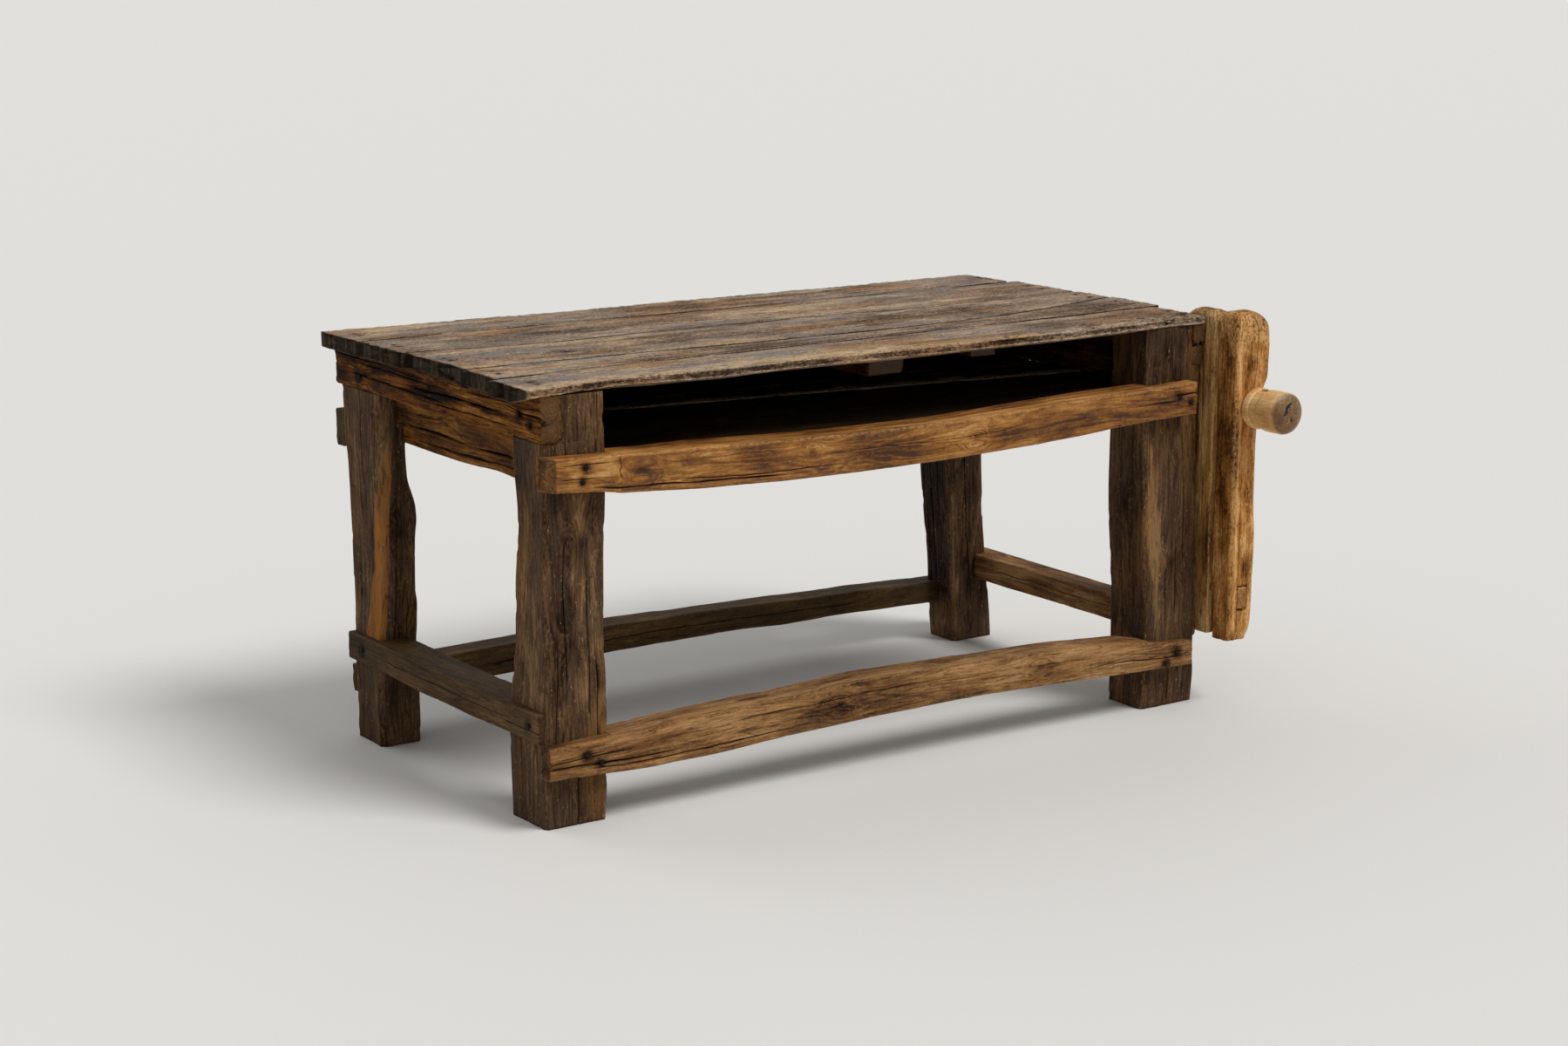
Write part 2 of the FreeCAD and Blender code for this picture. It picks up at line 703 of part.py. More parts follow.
# Shares of the shelf's depth where each joint starts at the left end and ends at the right end.
SHELF_SHARES = [(0, 0), (0.27, 0.165), (0.68, 0.36), (0.78, 0.61), (1, 1)]
SHELF_GAPS = ["0", "shelf_gap", "shelf_light_gap", "shelf_gap", "0"]
shelf_boards = []
for number in range(len(SHELF_SHARES) - 1):
    board = new_body(f"shelf_board_{number + 1}", ("shelf_inset", SHELF_FRONT, SHELF_LOW))
    near = SHELF_SHARES[number]
    far = SHELF_SHARES[number + 1]
    near_gap = f"{SHELF_GAPS[number]} / 2"
    far_gap = f"{SHELF_GAPS[number + 1]} / 2"
    sketch = flat_sketch(board, f"shelf_board_{number + 1}_outline", "XY_Plane")
    outline(
        sketch,
        [
            ("0", f"( {SHELF_DEPTH} * {near[0]} + {near_gap} )"),
            (SHELF_LENGTH, f"( {SHELF_DEPTH} * {near[1]} + {near_gap} )"),
            (SHELF_LENGTH, f"( {SHELF_DEPTH} * {far[1]} - {far_gap} )"),
            ("0", f"( {SHELF_DEPTH} * {far[0]} - {far_gap} )"),
        ],
    )
    pad(board, sketch, "shelf_thickness")
    shelf_boards.append(board)
document.recompute()


def notch_board(board, name, low_across, high_across, low_back, high_back):
    cut_box(
        board,
        name,
        (low_across, low_back, f"{SHELF_LOW} - overrun"),
        (high_across, high_back, f"{SHELF_TOP} + overrun"),
    )


RIGHT_END = "bench_length"
notch_board(
    shelf_boards[0], "left_notch", "0", "front_left_width + fit_gap", "0",
    f"{leg_back('front_left')} + fit_gap",
)
notch_board(
    shelf_boards[0], "right_notch", f"{FRONT_RIGHT_FACE} - fit_gap", RIGHT_END, "0",
    f"{leg_back('front_right')} + fit_gap",
)
for board in shelf_boards[2:]:
    notch_board(
        board, "left_notch", "0", "back_left_width + fit_gap",
        f"{leg_front('back_left')} - fit_gap", "bench_depth",
    )
for board in shelf_boards[3:]:
    notch_board(
        board, "right_notch", f"{BACK_RIGHT_FACE} - fit_gap", RIGHT_END,
        f"{leg_front('back_right')} - fit_gap", "bench_depth",
    )

# The back board stands on the shelf between the back legs.
straight_piece(
    "back_board",
    ("( back_board_inset + fit_gap )", f"( {SHELF_BACK} - back_board_thickness )", SHELF_TOP),
    (f"( {BACK_RIGHT_FACE} - fit_gap )", SHELF_BACK, UNDERSIDE),
)


# Battens under the top
# Their front ends show below the front plank. The wide one has a chamfered lower corner.
BATTEN_BACK = f"( {SHELF_BACK} - back_board_thickness - batten_back_clear )"
wide_batten = new_body(
    "wide_batten", ("wide_batten_place", "batten_front", f"( {UNDERSIDE} - wide_batten_thickness )")
)
sketch = flat_sketch(wide_batten, "wide_batten_outline", "XZ_Plane")
outline(
    sketch,
    [
        ("0", "0"),
        ("( wide_batten_width - wide_batten_chamfer )", "0"),
        ("wide_batten_width", "wide_batten_chamfer"),
        ("wide_batten_width", "wide_batten_thickness"),
        ("0", "wide_batten_thickness"),
    ],
)
pad(wide_batten, sketch, f"{BATTEN_BACK} - batten_front", backwards=True)
straight_piece(
    "narrow_batten",
    ("narrow_batten_place", "batten_front", f"( {UNDERSIDE} - narrow_batten_thickness )"),
    ("( narrow_batten_place + narrow_batten_width )", BATTEN_BACK, UNDERSIDE),
)


# Fixed jaw of the vise
# A post outside the right end rail, rounded at its top, with the tapped hole for the screw and a
# mortise for the parallel guide.
fixed_jaw = new_body("fixed_jaw", (RIGHT_RAIL_FACE, JAW_FACE, "jaw_low"))
JAW_HEIGHT = "( top_height + jaw_proud - jaw_low )"
sketch = flat_sketch(fixed_jaw, "fixed_jaw_outline", "YZ_Plane")
outline(
    sketch,
    [
        ("0", "0"),
        ("jaw_depth", "0"),
        ("jaw_depth", f"( {JAW_HEIGHT} - jaw_round )", "( 0 - jaw_round / 4 )"),
        ("( jaw_depth - jaw_round )", JAW_HEIGHT),
        ("jaw_round", JAW_HEIGHT, "( 0 - jaw_round / 4 )"),
        ("0", f"( {JAW_HEIGHT} - jaw_round )"),
    ],
)
pad(fixed_jaw, sketch, "jaw_width")
document.recompute()
SCREW_HOLE = "( screw_radius + screw_clearance )"
cut_bore(
    fixed_jaw,
    "screw_hole",
    (SCREW_ACROSS, f"{JAW_FACE} - overrun", SCREW_HEIGHT),
    SCREW_HOLE,
    "jaw_depth + overrun * 2",
    TO_BACK,
)
cut_box(
    fixed_jaw,
    "guide_mortise",
    (f"{GUIDE_ACROSS} - guide_clearance", f"{JAW_FACE} - overrun", "guide_low - guide_clearance"),
    (
        f"{GUIDE_ACROSS} + guide_width + guide_clearance",
        f"{JAW_FACE} + jaw_depth + overrun",
        "guide_low + guide_height + guide_clearance",
    ),
)


# Moving jaw of the vise
# Wide at the top and at the screw, narrow below, with a swell at the screw behind its head.
chop = new_body("chop", (CHOP_LEFT, CHOP_FRONT, "chop_low"))
CHOP_HEIGHT = f"( {CHOP_TOP} - chop_low )"
SCREW_UP = f"( {SCREW_HEIGHT} - chop_low )"
sketch = flat_sketch(chop, "chop_outline", "XZ_Plane")
outline(
    sketch,
    [
        ("0", "0"),
        ("chop_foot_width", "0"),
        ("chop_waist_width", f"( {SCREW_UP} - head_radius * 2 )"),
        ("chop_screw_width", f"( {SCREW_UP} - head_radius * 0.6 )"),
        ("chop_screw_width", f"( {SCREW_UP} + head_radius * 0.6 )"),
        ("chop_top_width", f"( {SCREW_UP} + head_radius * 2.4 )"),
        ("chop_top_width", f"( {CHOP_HEIGHT} - chop_round * 1.4 )", "( 0 - chop_round / 4 )"),
        ("( chop_top_width - chop_round * 1.6 )", f"( {CHOP_HEIGHT} - chop_round / 4 )"),
        ("chop_round", CHOP_HEIGHT, "( 0 - chop_round / 5 )"),
        ("0", f"( {CHOP_HEIGHT} - chop_round )"),
    ],
)
pad(chop, sketch, "chop_thickness", backwards=True)
document.recompute()
cut_bore(
    chop,
    "screw_hole",
    (SCREW_ACROSS, f"{CHOP_FRONT} - overrun", SCREW_HEIGHT),
    SCREW_HOLE,
    "chop_thickness + overrun * 2",
    TO_BACK,
)
cut_box(
    chop,
    "guide_mortise",
    (GUIDE_ACROSS, f"{CHOP_FRONT} - overrun", "guide_low"),
    (f"{GUIDE_ACROSS} + guide_width", f"{CHOP_BACK} + overrun", "guide_low + guide_height"),
)
GROOVE_FRONT = f"( {CHOP_FRONT} + groove_place )"
GROOVE_BACK = f"( {GROOVE_FRONT} + groove_width )"
KEY_FRONT = f"( {GROOVE_FRONT} + key_clearance )"
KEY_BACK = f"( {GROOVE_BACK} - key_clearance )"
KEY_LOW = f"( {SCREW_HEIGHT} - key_height / 2 )"
KEY_TOP = f"( {SCREW_HEIGHT} + key_height / 2 )"
KEY_TIP = f"( {SCREW_ACROSS} - key_reach )"
CHOP_SIDE = f"( {CHOP_LEFT} + chop_screw_width )"
cut_box(
    chop,
    "key_mortise",
    (KEY_TIP, KEY_FRONT, KEY_LOW),
    (f"{CHOP_SIDE} + overrun", KEY_BACK, KEY_TOP),
)

# Garter key: a forked slip of wood, let in from the side, whose prongs ride in the screw's groove.
key = straight_piece("garter_key", (KEY_TIP, KEY_FRONT, KEY_LOW), (CHOP_SIDE, KEY_BACK, KEY_TOP))
KEY_FORK = "( groove_radius + key_clearance )"
document.recompute()
cut_bore(
    key,
    "fork_end",
    (SCREW_ACROSS, f"{KEY_FRONT} - overrun", SCREW_HEIGHT),
    KEY_FORK,
    "groove_width + overrun * 2",
    TO_BACK,
)
cut_box(
    key,
    "fork_mouth",
    (f"{KEY_TIP} - overrun", f"{KEY_FRONT} - overrun", f"{SCREW_HEIGHT} - {KEY_FORK}"),
    (SCREW_ACROSS, f"{KEY_BACK} + overrun", f"{SCREW_HEIGHT} + {KEY_FORK}"),
)


# Vise screw
# Turned from one piece: a heavy head with a shallow waist and a domed end, and a long shank whose
# thread is drawn as its outer cylinder. The profile is turned about the shank's own line.
SHANK_LENGTH = "( head_gap + chop_thickness + jaw_gap + vise_travel + jaw_depth + screw_tail )"
screw = new_body("vise_screw", (SCREW_ACROSS, f"( {CHOP_FRONT} - head_gap )", SCREW_HEIGHT))
sketch = flat_sketch(screw, "vise_screw_profile", "YZ_Plane")
GROOVE_START = "( head_gap + groove_place )"
outline(
    sketch,
    [
        ("( 0 - head_length - head_dome )", "0"),
        (SHANK_LENGTH, "0"),
        (SHANK_LENGTH, "screw_radius"),
        (f"( {GROOVE_START} + groove_width )", "screw_radius"),
        (f"( {GROOVE_START} + groove_width )", "groove_radius"),
        (GROOVE_START, "groove_radius"),
        (GROOVE_START, "screw_radius"),
        ("0", "screw_radius"),
        ("0", "head_radius"),
        ("( head_waist_half - head_waist_place )", "head_radius"),
        ("( 0 - head_waist_place )", "head_waist_radius"),
        ("( 0 - head_waist_place - head_waist_half )", "head_radius"),
        ("( 0 - head_length )", "head_radius", "( 0 - head_dome / 4 )"),
        ("( 0 - head_length - head_dome )", "( head_radius / 4 )"),
    ],
)
turned = screw.newObject("PartDesign::Revolution", "vise_screw_turned")
turned.Profile = sketch
turned.ReferenceAxis = (sketch, ["H_Axis"])
turned.Angle = 360
document.recompute()
cut_bore(
    screw,
    "tommy_bar_hole",
    (
        SCREW_ACROSS,
        f"{CHOP_FRONT} - head_gap - head_waist_place",
        f"{SCREW_HEIGHT} - head_radius - overrun",
    ),
    "tommy_radius",
    "( head_radius + overrun ) * 2",
    UPWARD,
)


# Parallel guide
# A bar tenoned through the foot of the moving jaw, which slides in the fixed jaw and keeps the
# two jaws in line. A peg through its tail stops it from being drawn out.
GUIDE_PEG_BACK = f"( {CHOP_BACK} + jaw_gap + vise_travel + jaw_depth + guide_peg_radius + fit_gap )"
guide = straight_piece(
    "parallel_guide",
    (GUIDE_ACROSS, CHOP_FRONT, "guide_low"),
    (f"( {GUIDE_ACROSS} + guide_width )", f"( {GUIDE_PEG_BACK} + guide_tail )", "( guide_low + guide_height )"),
)
GUIDE_MIDDLE = "( guide_low + guide_height / 2 )"
PEG_LEFT = f"( {GUIDE_ACROSS} + guide_width / 2 - guide_peg_length / 2 )"
document.recompute()
cut_bore(
    guide,
    "peg_hole",
    (f"{GUIDE_ACROSS} - overrun", GUIDE_PEG_BACK, GUIDE_MIDDLE),
    "guide_peg_radius + screw_clearance",
    "guide_width + overrun * 2",
    TO_RIGHT,
)
peg = new_body("guide_peg", (PEG_LEFT, GUIDE_PEG_BACK, GUIDE_MIDDLE))
sketch = flat_sketch(peg, "guide_peg_profile", "XZ_Plane")
outline(
    sketch,
    [
        ("0", "0"),
        ("guide_peg_length", "0"),
        ("guide_peg_length", "( guide_peg_radius * 0.7 )"),
        ("( guide_peg_length - guide_peg_radius / 2 )", "guide_peg_radius"),
        ("( guide_peg_radius / 2 )", "guide_peg_radius"),
        ("0", "( guide_peg_radius * 0.7 )"),
    ],
)
turned = peg.newObject("PartDesign::Revolution", "guide_peg_turned")
turned.Profile = sketch
turned.ReferenceAxis = (sketch, ["H_Axis"])
turned.Angle = 360


# Nails
# Forged nails with low faceted heads. Each joint has its own group, and each nail is driven through
# the outer piece into the one behind it.
def make_nails(name, spots, turn, length):
    """A group of nails whose heads sit on a face at `spots`, places in the bench's frame."""
    nails = []
    for number, spot in enumerate(spots):
        shank = document.addObject("Part::Cone", f"{name}_shank_{number}")
        bind(shank, "Radius1", "nail_radius")
        bind(shank, "Radius2", "nail_tip_radius")
        bind(shank, "Height", length)
        head = document.addObject("Part::Cone", f"{name}_head_{number}")
        bind(head, "Radius1", "nail_head_radius")
        bind(head, "Radius2", "nail_head_crown_radius")
        bind(head, "Height", "nail_head_height")
        shank.Placement = FreeCAD.Placement(FreeCAD.Vector(), turn)
        head.Placement = FreeCAD.Placement(FreeCAD.Vector(), turn * DOWNWARD)
        nail = document.addObject("Part::Fuse", f"{name}_{number}")
        nail.Base = shank
        nail.Tool = head
        bind(nail, "Placement.Base.x", f"( {spot[0]} ) - {MIDDLE_ACROSS}")
        bind(nail, "Placement.Base.y", f"( {spot[1]} ) - {MIDDLE_BACK}")
        bind(nail, "Placement.Base.z", spot[2])
        nails.append(nail)
    group = document.addObject("Part::Compound", name)
    group.Label = name
    group.Links = nails
    nodes.append(group)
    return group


def rail_middle(left_low, left_top, right_low, right_top, along):
    """The middle height of a long rail whose two ends differ, at a share of its length."""
    low = f"( {left_low} + ( {right_low} - {left_low} ) * {along} )"
    top = f"( {left_top} + ( {right_top} - {left_top} ) * {along} )"
    return f"( ( {low} + {top} ) / 2 )"


FRONT_RAIL_FACE = "( 0 - front_rail_lap )"
upper_left = rail_middle(
    f"{FRONT_RAIL_LEFT_LOW}", f"{FRONT_RAIL_LEFT_TOP}", f"{FRONT_RAIL_RIGHT_LOW}", f"{FRONT_RAIL_RIGHT_TOP}", 0
)
upper_right = rail_middle(
    f"{FRONT_RAIL_LEFT_LOW}", f"{FRONT_RAIL_LEFT_TOP}", f"{FRONT_RAIL_RIGHT_LOW}", f"{FRONT_RAIL_RIGHT_TOP}", 1
)
make_nails(
    "front_rail_nails",
    [
        ("front_left_width / 2 + nail_inset / 10", FRONT_RAIL_FACE, f"{upper_left} + nail_inset / 3"),
        ("front_left_width / 2 - nail_inset / 8", FRONT_RAIL_FACE, f"{upper_left} - nail_inset / 2"),
        ("bench_length - front_right_width / 2 - nail_inset / 2", FRONT_RAIL_FACE, f"{upper_right} + nail_inset / 4"),
        ("bench_length - front_right_width / 2 + nail_inset / 2", FRONT_RAIL_FACE, f"{upper_right} - nail_inset / 8"),
    ],
    TO_BACK,
    "nail_length",
)
lower_left = rail_middle(
    "front_stretcher_left_low",
    "front_stretcher_left_top",
    "front_stretcher_right_low",
    "front_stretcher_right_top",
    0,
)
lower_right = rail_middle(
    "front_stretcher_left_low",
    "front_stretcher_left_top",
    "front_stretcher_right_low",
    "front_stretcher_right_top",
    1,
)
FRONT_STRETCHER_FACE = "( 0 - front_stretcher_lap )"
make_nails(
    "front_stretcher_nails",
    [
        ("front_left_width / 2", FRONT_STRETCHER_FACE, f"{lower_left} + nail_inset / 3"),
        ("front_left_width / 2 + nail_inset", FRONT_STRETCHER_FACE, f"{lower_left} - nail_inset / 3"),
        ("bench_length - front_right_width / 2", FRONT_STRETCHER_FACE, f"{lower_right} + nail_inset / 3"),
        ("bench_length - front_right_width / 2 - nail_inset", FRONT_STRETCHER_FACE, f"{lower_right} - nail_inset / 4"),
    ],
    TO_BACK,
    "nail_length",
)
back_rail_middle = f"( {BACK_RAIL_LOW} + back_rail_height / 2 )"
make_nails(
    "back_rail_nails",
    [
        ("back_left_width / 2", BACK_RAIL_FACE, f"{back_rail_middle} + nail_inset / 2"),
        ("back_left_width / 2 - nail_inset / 3", BACK_RAIL_FACE, f"{back_rail_middle} - nail_inset / 2"),
        ("bench_length - back_right_width / 2", BACK_RAIL_FACE, f"{back_rail_middle} + nail_inset / 2"),
        ("bench_length - back_right_width / 2 - nail_inset / 3", BACK_RAIL_FACE, f"{back_rail_middle} - nail_inset / 2"),
    ],
    TO_FRONT,
    "nail_length",
)
back_stretcher_middle = "( back_stretcher_low + back_stretcher_height / 2 )"
make_nails(
    "back_stretcher_nails",
    [
        ("back_left_width / 2", BACK_STRETCHER_FACE, f"{back_stretcher_middle} + nail_inset / 2"),
        ("back_left_width / 2 + nail_inset / 3", BACK_STRETCHER_FACE, f"{back_stretcher_middle} - nail_inset / 2"),
        ("bench_length - back_right_width / 3", BACK_STRETCHER_FACE, f"{back_stretcher_middle} + nail_inset / 2"),
        ("bench_length - back_right_width / 3 - nail_inset / 3", BACK_STRETCHER_FACE, f"{back_stretcher_middle} - nail_inset / 2"),
    ],
    TO_FRONT,
    "nail_length",
)
END_RAIL_MIDDLE = f"( {UNDERSIDE} - end_rail_height / 2 )"
make_nails(
    "left_end_nails",
    [
        ("0", "front_left_depth / 3", f"{END_RAIL_MIDDLE} - nail_inset / 4"),
        ("0", "front_left_depth * 2 / 3", f"{END_RAIL_MIDDLE} + nail_inset / 4"),
        ("0", "bench_depth - back_left_depth / 2", f"{END_RAIL_MIDDLE} - nail_inset / 3"),
        ("( 0 - left_stretcher_proud )", "front_left_depth / 3", "left_stretcher_low + left_stretcher_height / 2"),
        ("( 0 - left_stretcher_proud )", "bench_depth - back_left_depth / 2", "left_stretcher_low + left_stretcher_height / 2"),
    ],
    TO_RIGHT,
    "nail_length",
)
make_nails(
    "right_end_nails",
    [
        (RIGHT_RAIL_FACE, "front_right_depth * 4 / 5", f"{END_RAIL_MIDDLE} - nail_inset / 4"),
        (RIGHT_RAIL_FACE, "bench_depth - back_right_depth / 2", f"{END_RAIL_MIDDLE} - nail_inset / 3"),
        (RIGHT_RAIL_FACE, "bench_depth - back_right_depth / 2", "right_stretcher_low + right_stretcher_height / 2"),
    ],
    TO_LEFT,
    "nail_length",
)
JAW_SIDE = f"( {RIGHT_RAIL_FACE} + jaw_width )"
make_nails(
    "fixed_jaw_spikes",
    [
        (JAW_SIDE, "jaw_front / 3", f"{END_RAIL_MIDDLE} + nail_inset / 2"),
        (JAW_SIDE, "jaw_front", f"{END_RAIL_MIDDLE} - nail_inset / 2"),
        (JAW_SIDE, "jaw_front / 2", "right_stretcher_low + right_stretcher_height * 3 / 4"),
    ],
    TO_LEFT,
    "jaw_width + end_rail_thickness * 5 / 8",
)


# Two nails at each end of every plank of the top, over the end rails. They are punched down until
# their heads are level with the top.
PUNCHED = "( top_height - nail_head_height )"


def plank_middle(number, along):
    near = JOINT_SHARES[number]
    far = JOINT_SHARES[number + 1]
    share = (near[0][1] + far[0][1]) / 2 if along == 0 else (near[-1][1] + far[-1][1]) / 2
    return f"( {TOP_DEPTH} * {share} - front_overhang )"


top_spots = []
for number in range(len(END_SHARES)):
    for offset in ("- nail_inset / 2", "+ nail_inset / 3"):
        top_spots.append(("end_rail_thickness / 2", f"{plank_middle(number, 0)} {offset}", PUNCHED))
    for offset in ("- nail_inset", "+ nail_inset / 2"):
        across = f"{RIGHT_RAIL_FACE} - end_rail_thickness / 2"
        top_spots.append((across, f"{plank_middle(number, 1)} {offset}", PUNCHED))
make_nails("top_nails", top_spots, DOWNWARD, "board_nail_length")

document.recompute()


# Checks and export
def check(item):
    states = set(item.State)
    if states & {"Invalid", "Error"}:
        raise RuntimeError(f"{item.Name} is {item.State}")


for item in document.Objects:
    check(item)
for node in nodes:
    shape = node.Shape
    if shape.isNull() or not shape.isValid():
        raise RuntimeError(f"{node.Label} has no valid shape")
    if node.TypeId == "PartDesign::Body" and len(shape.Solids) != 1:
        raise RuntimeError(f"{node.Label} holds {len(shape.Solids)} solids")

os.makedirs("parts", exist_ok=True)
for node in nodes:
    node.Shape.exportStep(f"parts/{node.Label}.step")
    box = node.Shape.BoundBox
    print(
        f"{node.Label:24s} solids {len(node.Shape.Solids):2d}"
        f"  low {box.XMin:8.1f} {box.YMin:8.1f} {box.ZMin:7.1f}"
        f"  high {box.XMax:8.1f} {box.YMax:8.1f} {box.ZMax:7.1f}"
    )
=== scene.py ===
# %% [markdown]
# # An old joiner's bench, dressed for the eye
# The bench is a set of hewn and sawn timbers: a planked top, four legs, halved rails and a leg vise.
# Its plain solids already stand in the right places, so this lesson only gives each timber its
# skin: wandering edges, worn arrises, splits, knots, end grain and the colours of old wood.
# Meshes are in metres, and the tables that describe the timbers are in millimetres.

# %% Load the fixed frame
import math
import bpy
import numpy as np
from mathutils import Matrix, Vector


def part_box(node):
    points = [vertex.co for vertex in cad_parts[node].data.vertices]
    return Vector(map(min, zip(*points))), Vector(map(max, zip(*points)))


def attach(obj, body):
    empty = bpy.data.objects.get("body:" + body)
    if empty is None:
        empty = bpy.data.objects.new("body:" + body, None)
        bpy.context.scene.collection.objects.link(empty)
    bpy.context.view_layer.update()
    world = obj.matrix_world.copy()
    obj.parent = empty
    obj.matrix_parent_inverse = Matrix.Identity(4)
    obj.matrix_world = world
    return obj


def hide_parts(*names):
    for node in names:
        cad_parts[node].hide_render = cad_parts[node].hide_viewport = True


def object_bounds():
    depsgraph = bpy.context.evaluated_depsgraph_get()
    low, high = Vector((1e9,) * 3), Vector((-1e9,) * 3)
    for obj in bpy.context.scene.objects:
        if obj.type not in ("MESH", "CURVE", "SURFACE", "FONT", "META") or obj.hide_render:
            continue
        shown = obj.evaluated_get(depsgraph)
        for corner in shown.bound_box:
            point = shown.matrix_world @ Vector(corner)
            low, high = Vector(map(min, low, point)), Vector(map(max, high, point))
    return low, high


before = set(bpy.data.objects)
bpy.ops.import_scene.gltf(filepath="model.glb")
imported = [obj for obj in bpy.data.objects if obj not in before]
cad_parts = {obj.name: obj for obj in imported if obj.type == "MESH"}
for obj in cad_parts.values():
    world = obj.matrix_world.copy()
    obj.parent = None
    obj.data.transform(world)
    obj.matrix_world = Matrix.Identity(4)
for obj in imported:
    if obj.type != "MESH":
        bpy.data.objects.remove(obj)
frame_low, frame_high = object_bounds()
print("frame", [round(v, 4) for v in frame_low], [round(v, 4) for v in frame_high])

# %% [markdown]
# ## One place to measure from
# A maker measures a bench from the corner of a leg. All numbers below are taken from the foot
# corner of the front left leg, and `corner` moves them to where the frame has that leg.

# %% The corner that everything is measured from
corner = np.array(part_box("front_left_leg")[0])
MM = 0.001
print("corner", corner.round(4))


# %% [markdown]
# ## Noise that follows the wood
# Wood never repeats, but it has a direction: fibres run along the timber for tens of centimetres
# and are a fraction of a millimetre wide. A lattice of random numbers, smoothed and stretched along
# the grain, gives that. It is seeded by its own lattice, so the bench is the same on every run.

# %% Smooth lattice noise
def lattice(cells, seed):
    """A random number from -1 to 1 for each cell, always the same for the same seed."""
    mixed = cells[..., 0] * 374761393 + cells[..., 1] * 668265263 + cells[..., 2] * 2147483647
    mixed = (mixed + seed * 974634777) & 0xFFFFFFFF
    mixed = ((mixed ^ (mixed >> 13)) * 1274126177) & 0xFFFFFFFF
    return ((mixed ^ (mixed >> 16)) & 0xFFFF) / 32767.5 - 1.0


def noise(points, seed=0):
    """Smooth noise from -1 to 1 at points that are already stretched."""
    cells = np.floor(points).astype(np.int64)
    part = points - cells
    part = part * part * (3 - 2 * part)
    total = 0.0
    for dx in (0, 1):
        for dy in (0, 1):
            for dz in (0, 1):
                weight = np.abs(1 - dx - part[..., 0]) * np.abs(1 - dy - part[..., 1])
                weight = weight * np.abs(1 - dz - part[..., 2])
                total = total + weight * lattice(cells + np.array([dx, dy, dz]), seed)
    return total


def rough(points, seed=0, layers=3):
    """Several sizes of noise on top of each other."""
    total, share = 0.0, 1.0
    for layer in range(layers):
        total = total + share * noise(points * 2.0**layer, seed + layer * 17)
        share = share * 0.5
    return total


print("noise", noise(np.array([[0.5, 0.5, 0.5], [1.5, 2.5, 3.5]])).round(3))


# %% [markdown]
# ## Where the nails are
# Iron and damp oak make black ink, so every nail has a dark ring round it. The timbers need to know
# the nails' places for that, and the frame has them.

# %% Find the nail heads in the frame
def nail_heads(node):
    """The base of each nail's head in a node of the frame, with the nail's axis, way out and length."""
    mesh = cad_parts[node].data
    parent = list(range(len(mesh.vertices)))

    def root(i):
        while parent[i] != i:
            parent[i] = parent[parent[i]]
            i = parent[i]
        return i

    spots = {}
    for vertex in mesh.vertices:
        key = tuple(round(v * 1e5) for v in vertex.co)
        if key in spots:
            parent[root(vertex.index)] = root(spots[key])
        spots[key] = vertex.index
    for edge in mesh.edges:
        parent[root(edge.vertices[0])] = root(edge.vertices[1])
    groups = {}
    for vertex in mesh.vertices:
        groups.setdefault(root(vertex.index), []).append(vertex.co[:])
    heads = []
    for group in groups.values():
        low, high = np.min(group, 0), np.max(group, 0)
        axis = int(np.argmax(high - low))
        way = -1 if "front" in node or "left" in node else 1
        base = (low + high) / 2
        base[axis] = (high[axis] if way > 0 else low[axis]) - way * head_height
        heads.append((base, axis, way, (high - low)[axis] - head_height))
    return heads


head_height = 0.0022
nails = {node: nail_heads(node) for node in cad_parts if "nail" in node or "spike" in node}
nail_places = np.array([place for heads in nails.values() for place, *_ in heads]) - corner
print("nail heads", {node: len(heads) for node, heads in nails.items()})


# %% [markdown]
# ## A timber
# A hewn timber is a stack of slightly different rectangles with worn corners. The mesh is made the
# same way: stations along the length, and a ring of columns round each station. A split is five
# columns set close together that wander along the grain while the middle ones sink in, which keeps
# the faces few and the line sharp; the line's dark is painted shade. Five things are written on the
# mesh for the paint to read: `grain` (where a point lies along and across the fibres), `split` (how
# deep in a split it is, for the painted shade in it), `tone` (how much lighter or darker the wood is,
# painted light and shade included), `bare` (worn arrises) and `end` (end grain).
#
# Directions: a timber runs along one axis, and b and c are the two across it. Its sides count round
# the section: 0 low c, 1 high b, 2 high c, 3 low b, each with an arris after it.

# %% Curves, tapers and small helpers for timbers
CROSS = {0: (1, 2), 1: (2, 0), 2: (0, 1)}


def sized(given, t):
    """One size all along, or a curve through (place, size) pairs: millimetres in, metres out."""
    if isinstance(given, list):
        return np.interp(t, *np.array(given, float).T / 1000)
    return np.full(len(t), given / 1000)


def metres(rows, *columns):
    """The same rows, with the millimetres in some columns as metres."""
    return [tuple(v / 1000 if k in columns else v for k, v in enumerate(row)) for row in rows]


def held(values):
    """The values, held between 0 and 1."""
    return np.clip(values, 0, 1)


def fade(t, start, end, soft):
    """1 between start and end, falling softly to 0 outside."""
    rise = held((t - start) / soft + 0.5)
    fall = held((end - t) / soft + 0.5)
    return rise * rise * (3 - 2 * rise) * fall * fall * (3 - 2 * fall)


def soften(values, width):
    """Averages neighbours along the length, so that straight runs join in curves."""
    if width < 2:
        return values
    kernel = np.hanning(width + 2)[1:-1]
    padded = np.pad(values, width, mode="edge")
    return np.convolve(padded, kernel / kernel.sum(), mode="same")[width:-width]


def stretched(along, b, c, long, across):
    """Points for the noise, in repeats per metre along the fibres and across them."""
    return np.stack([along * long, b * across, c * across], -1)


print("a taper", fade(np.array([0.0, 0.1, 0.5]), 0.1, 0.9, 0.1).round(2))


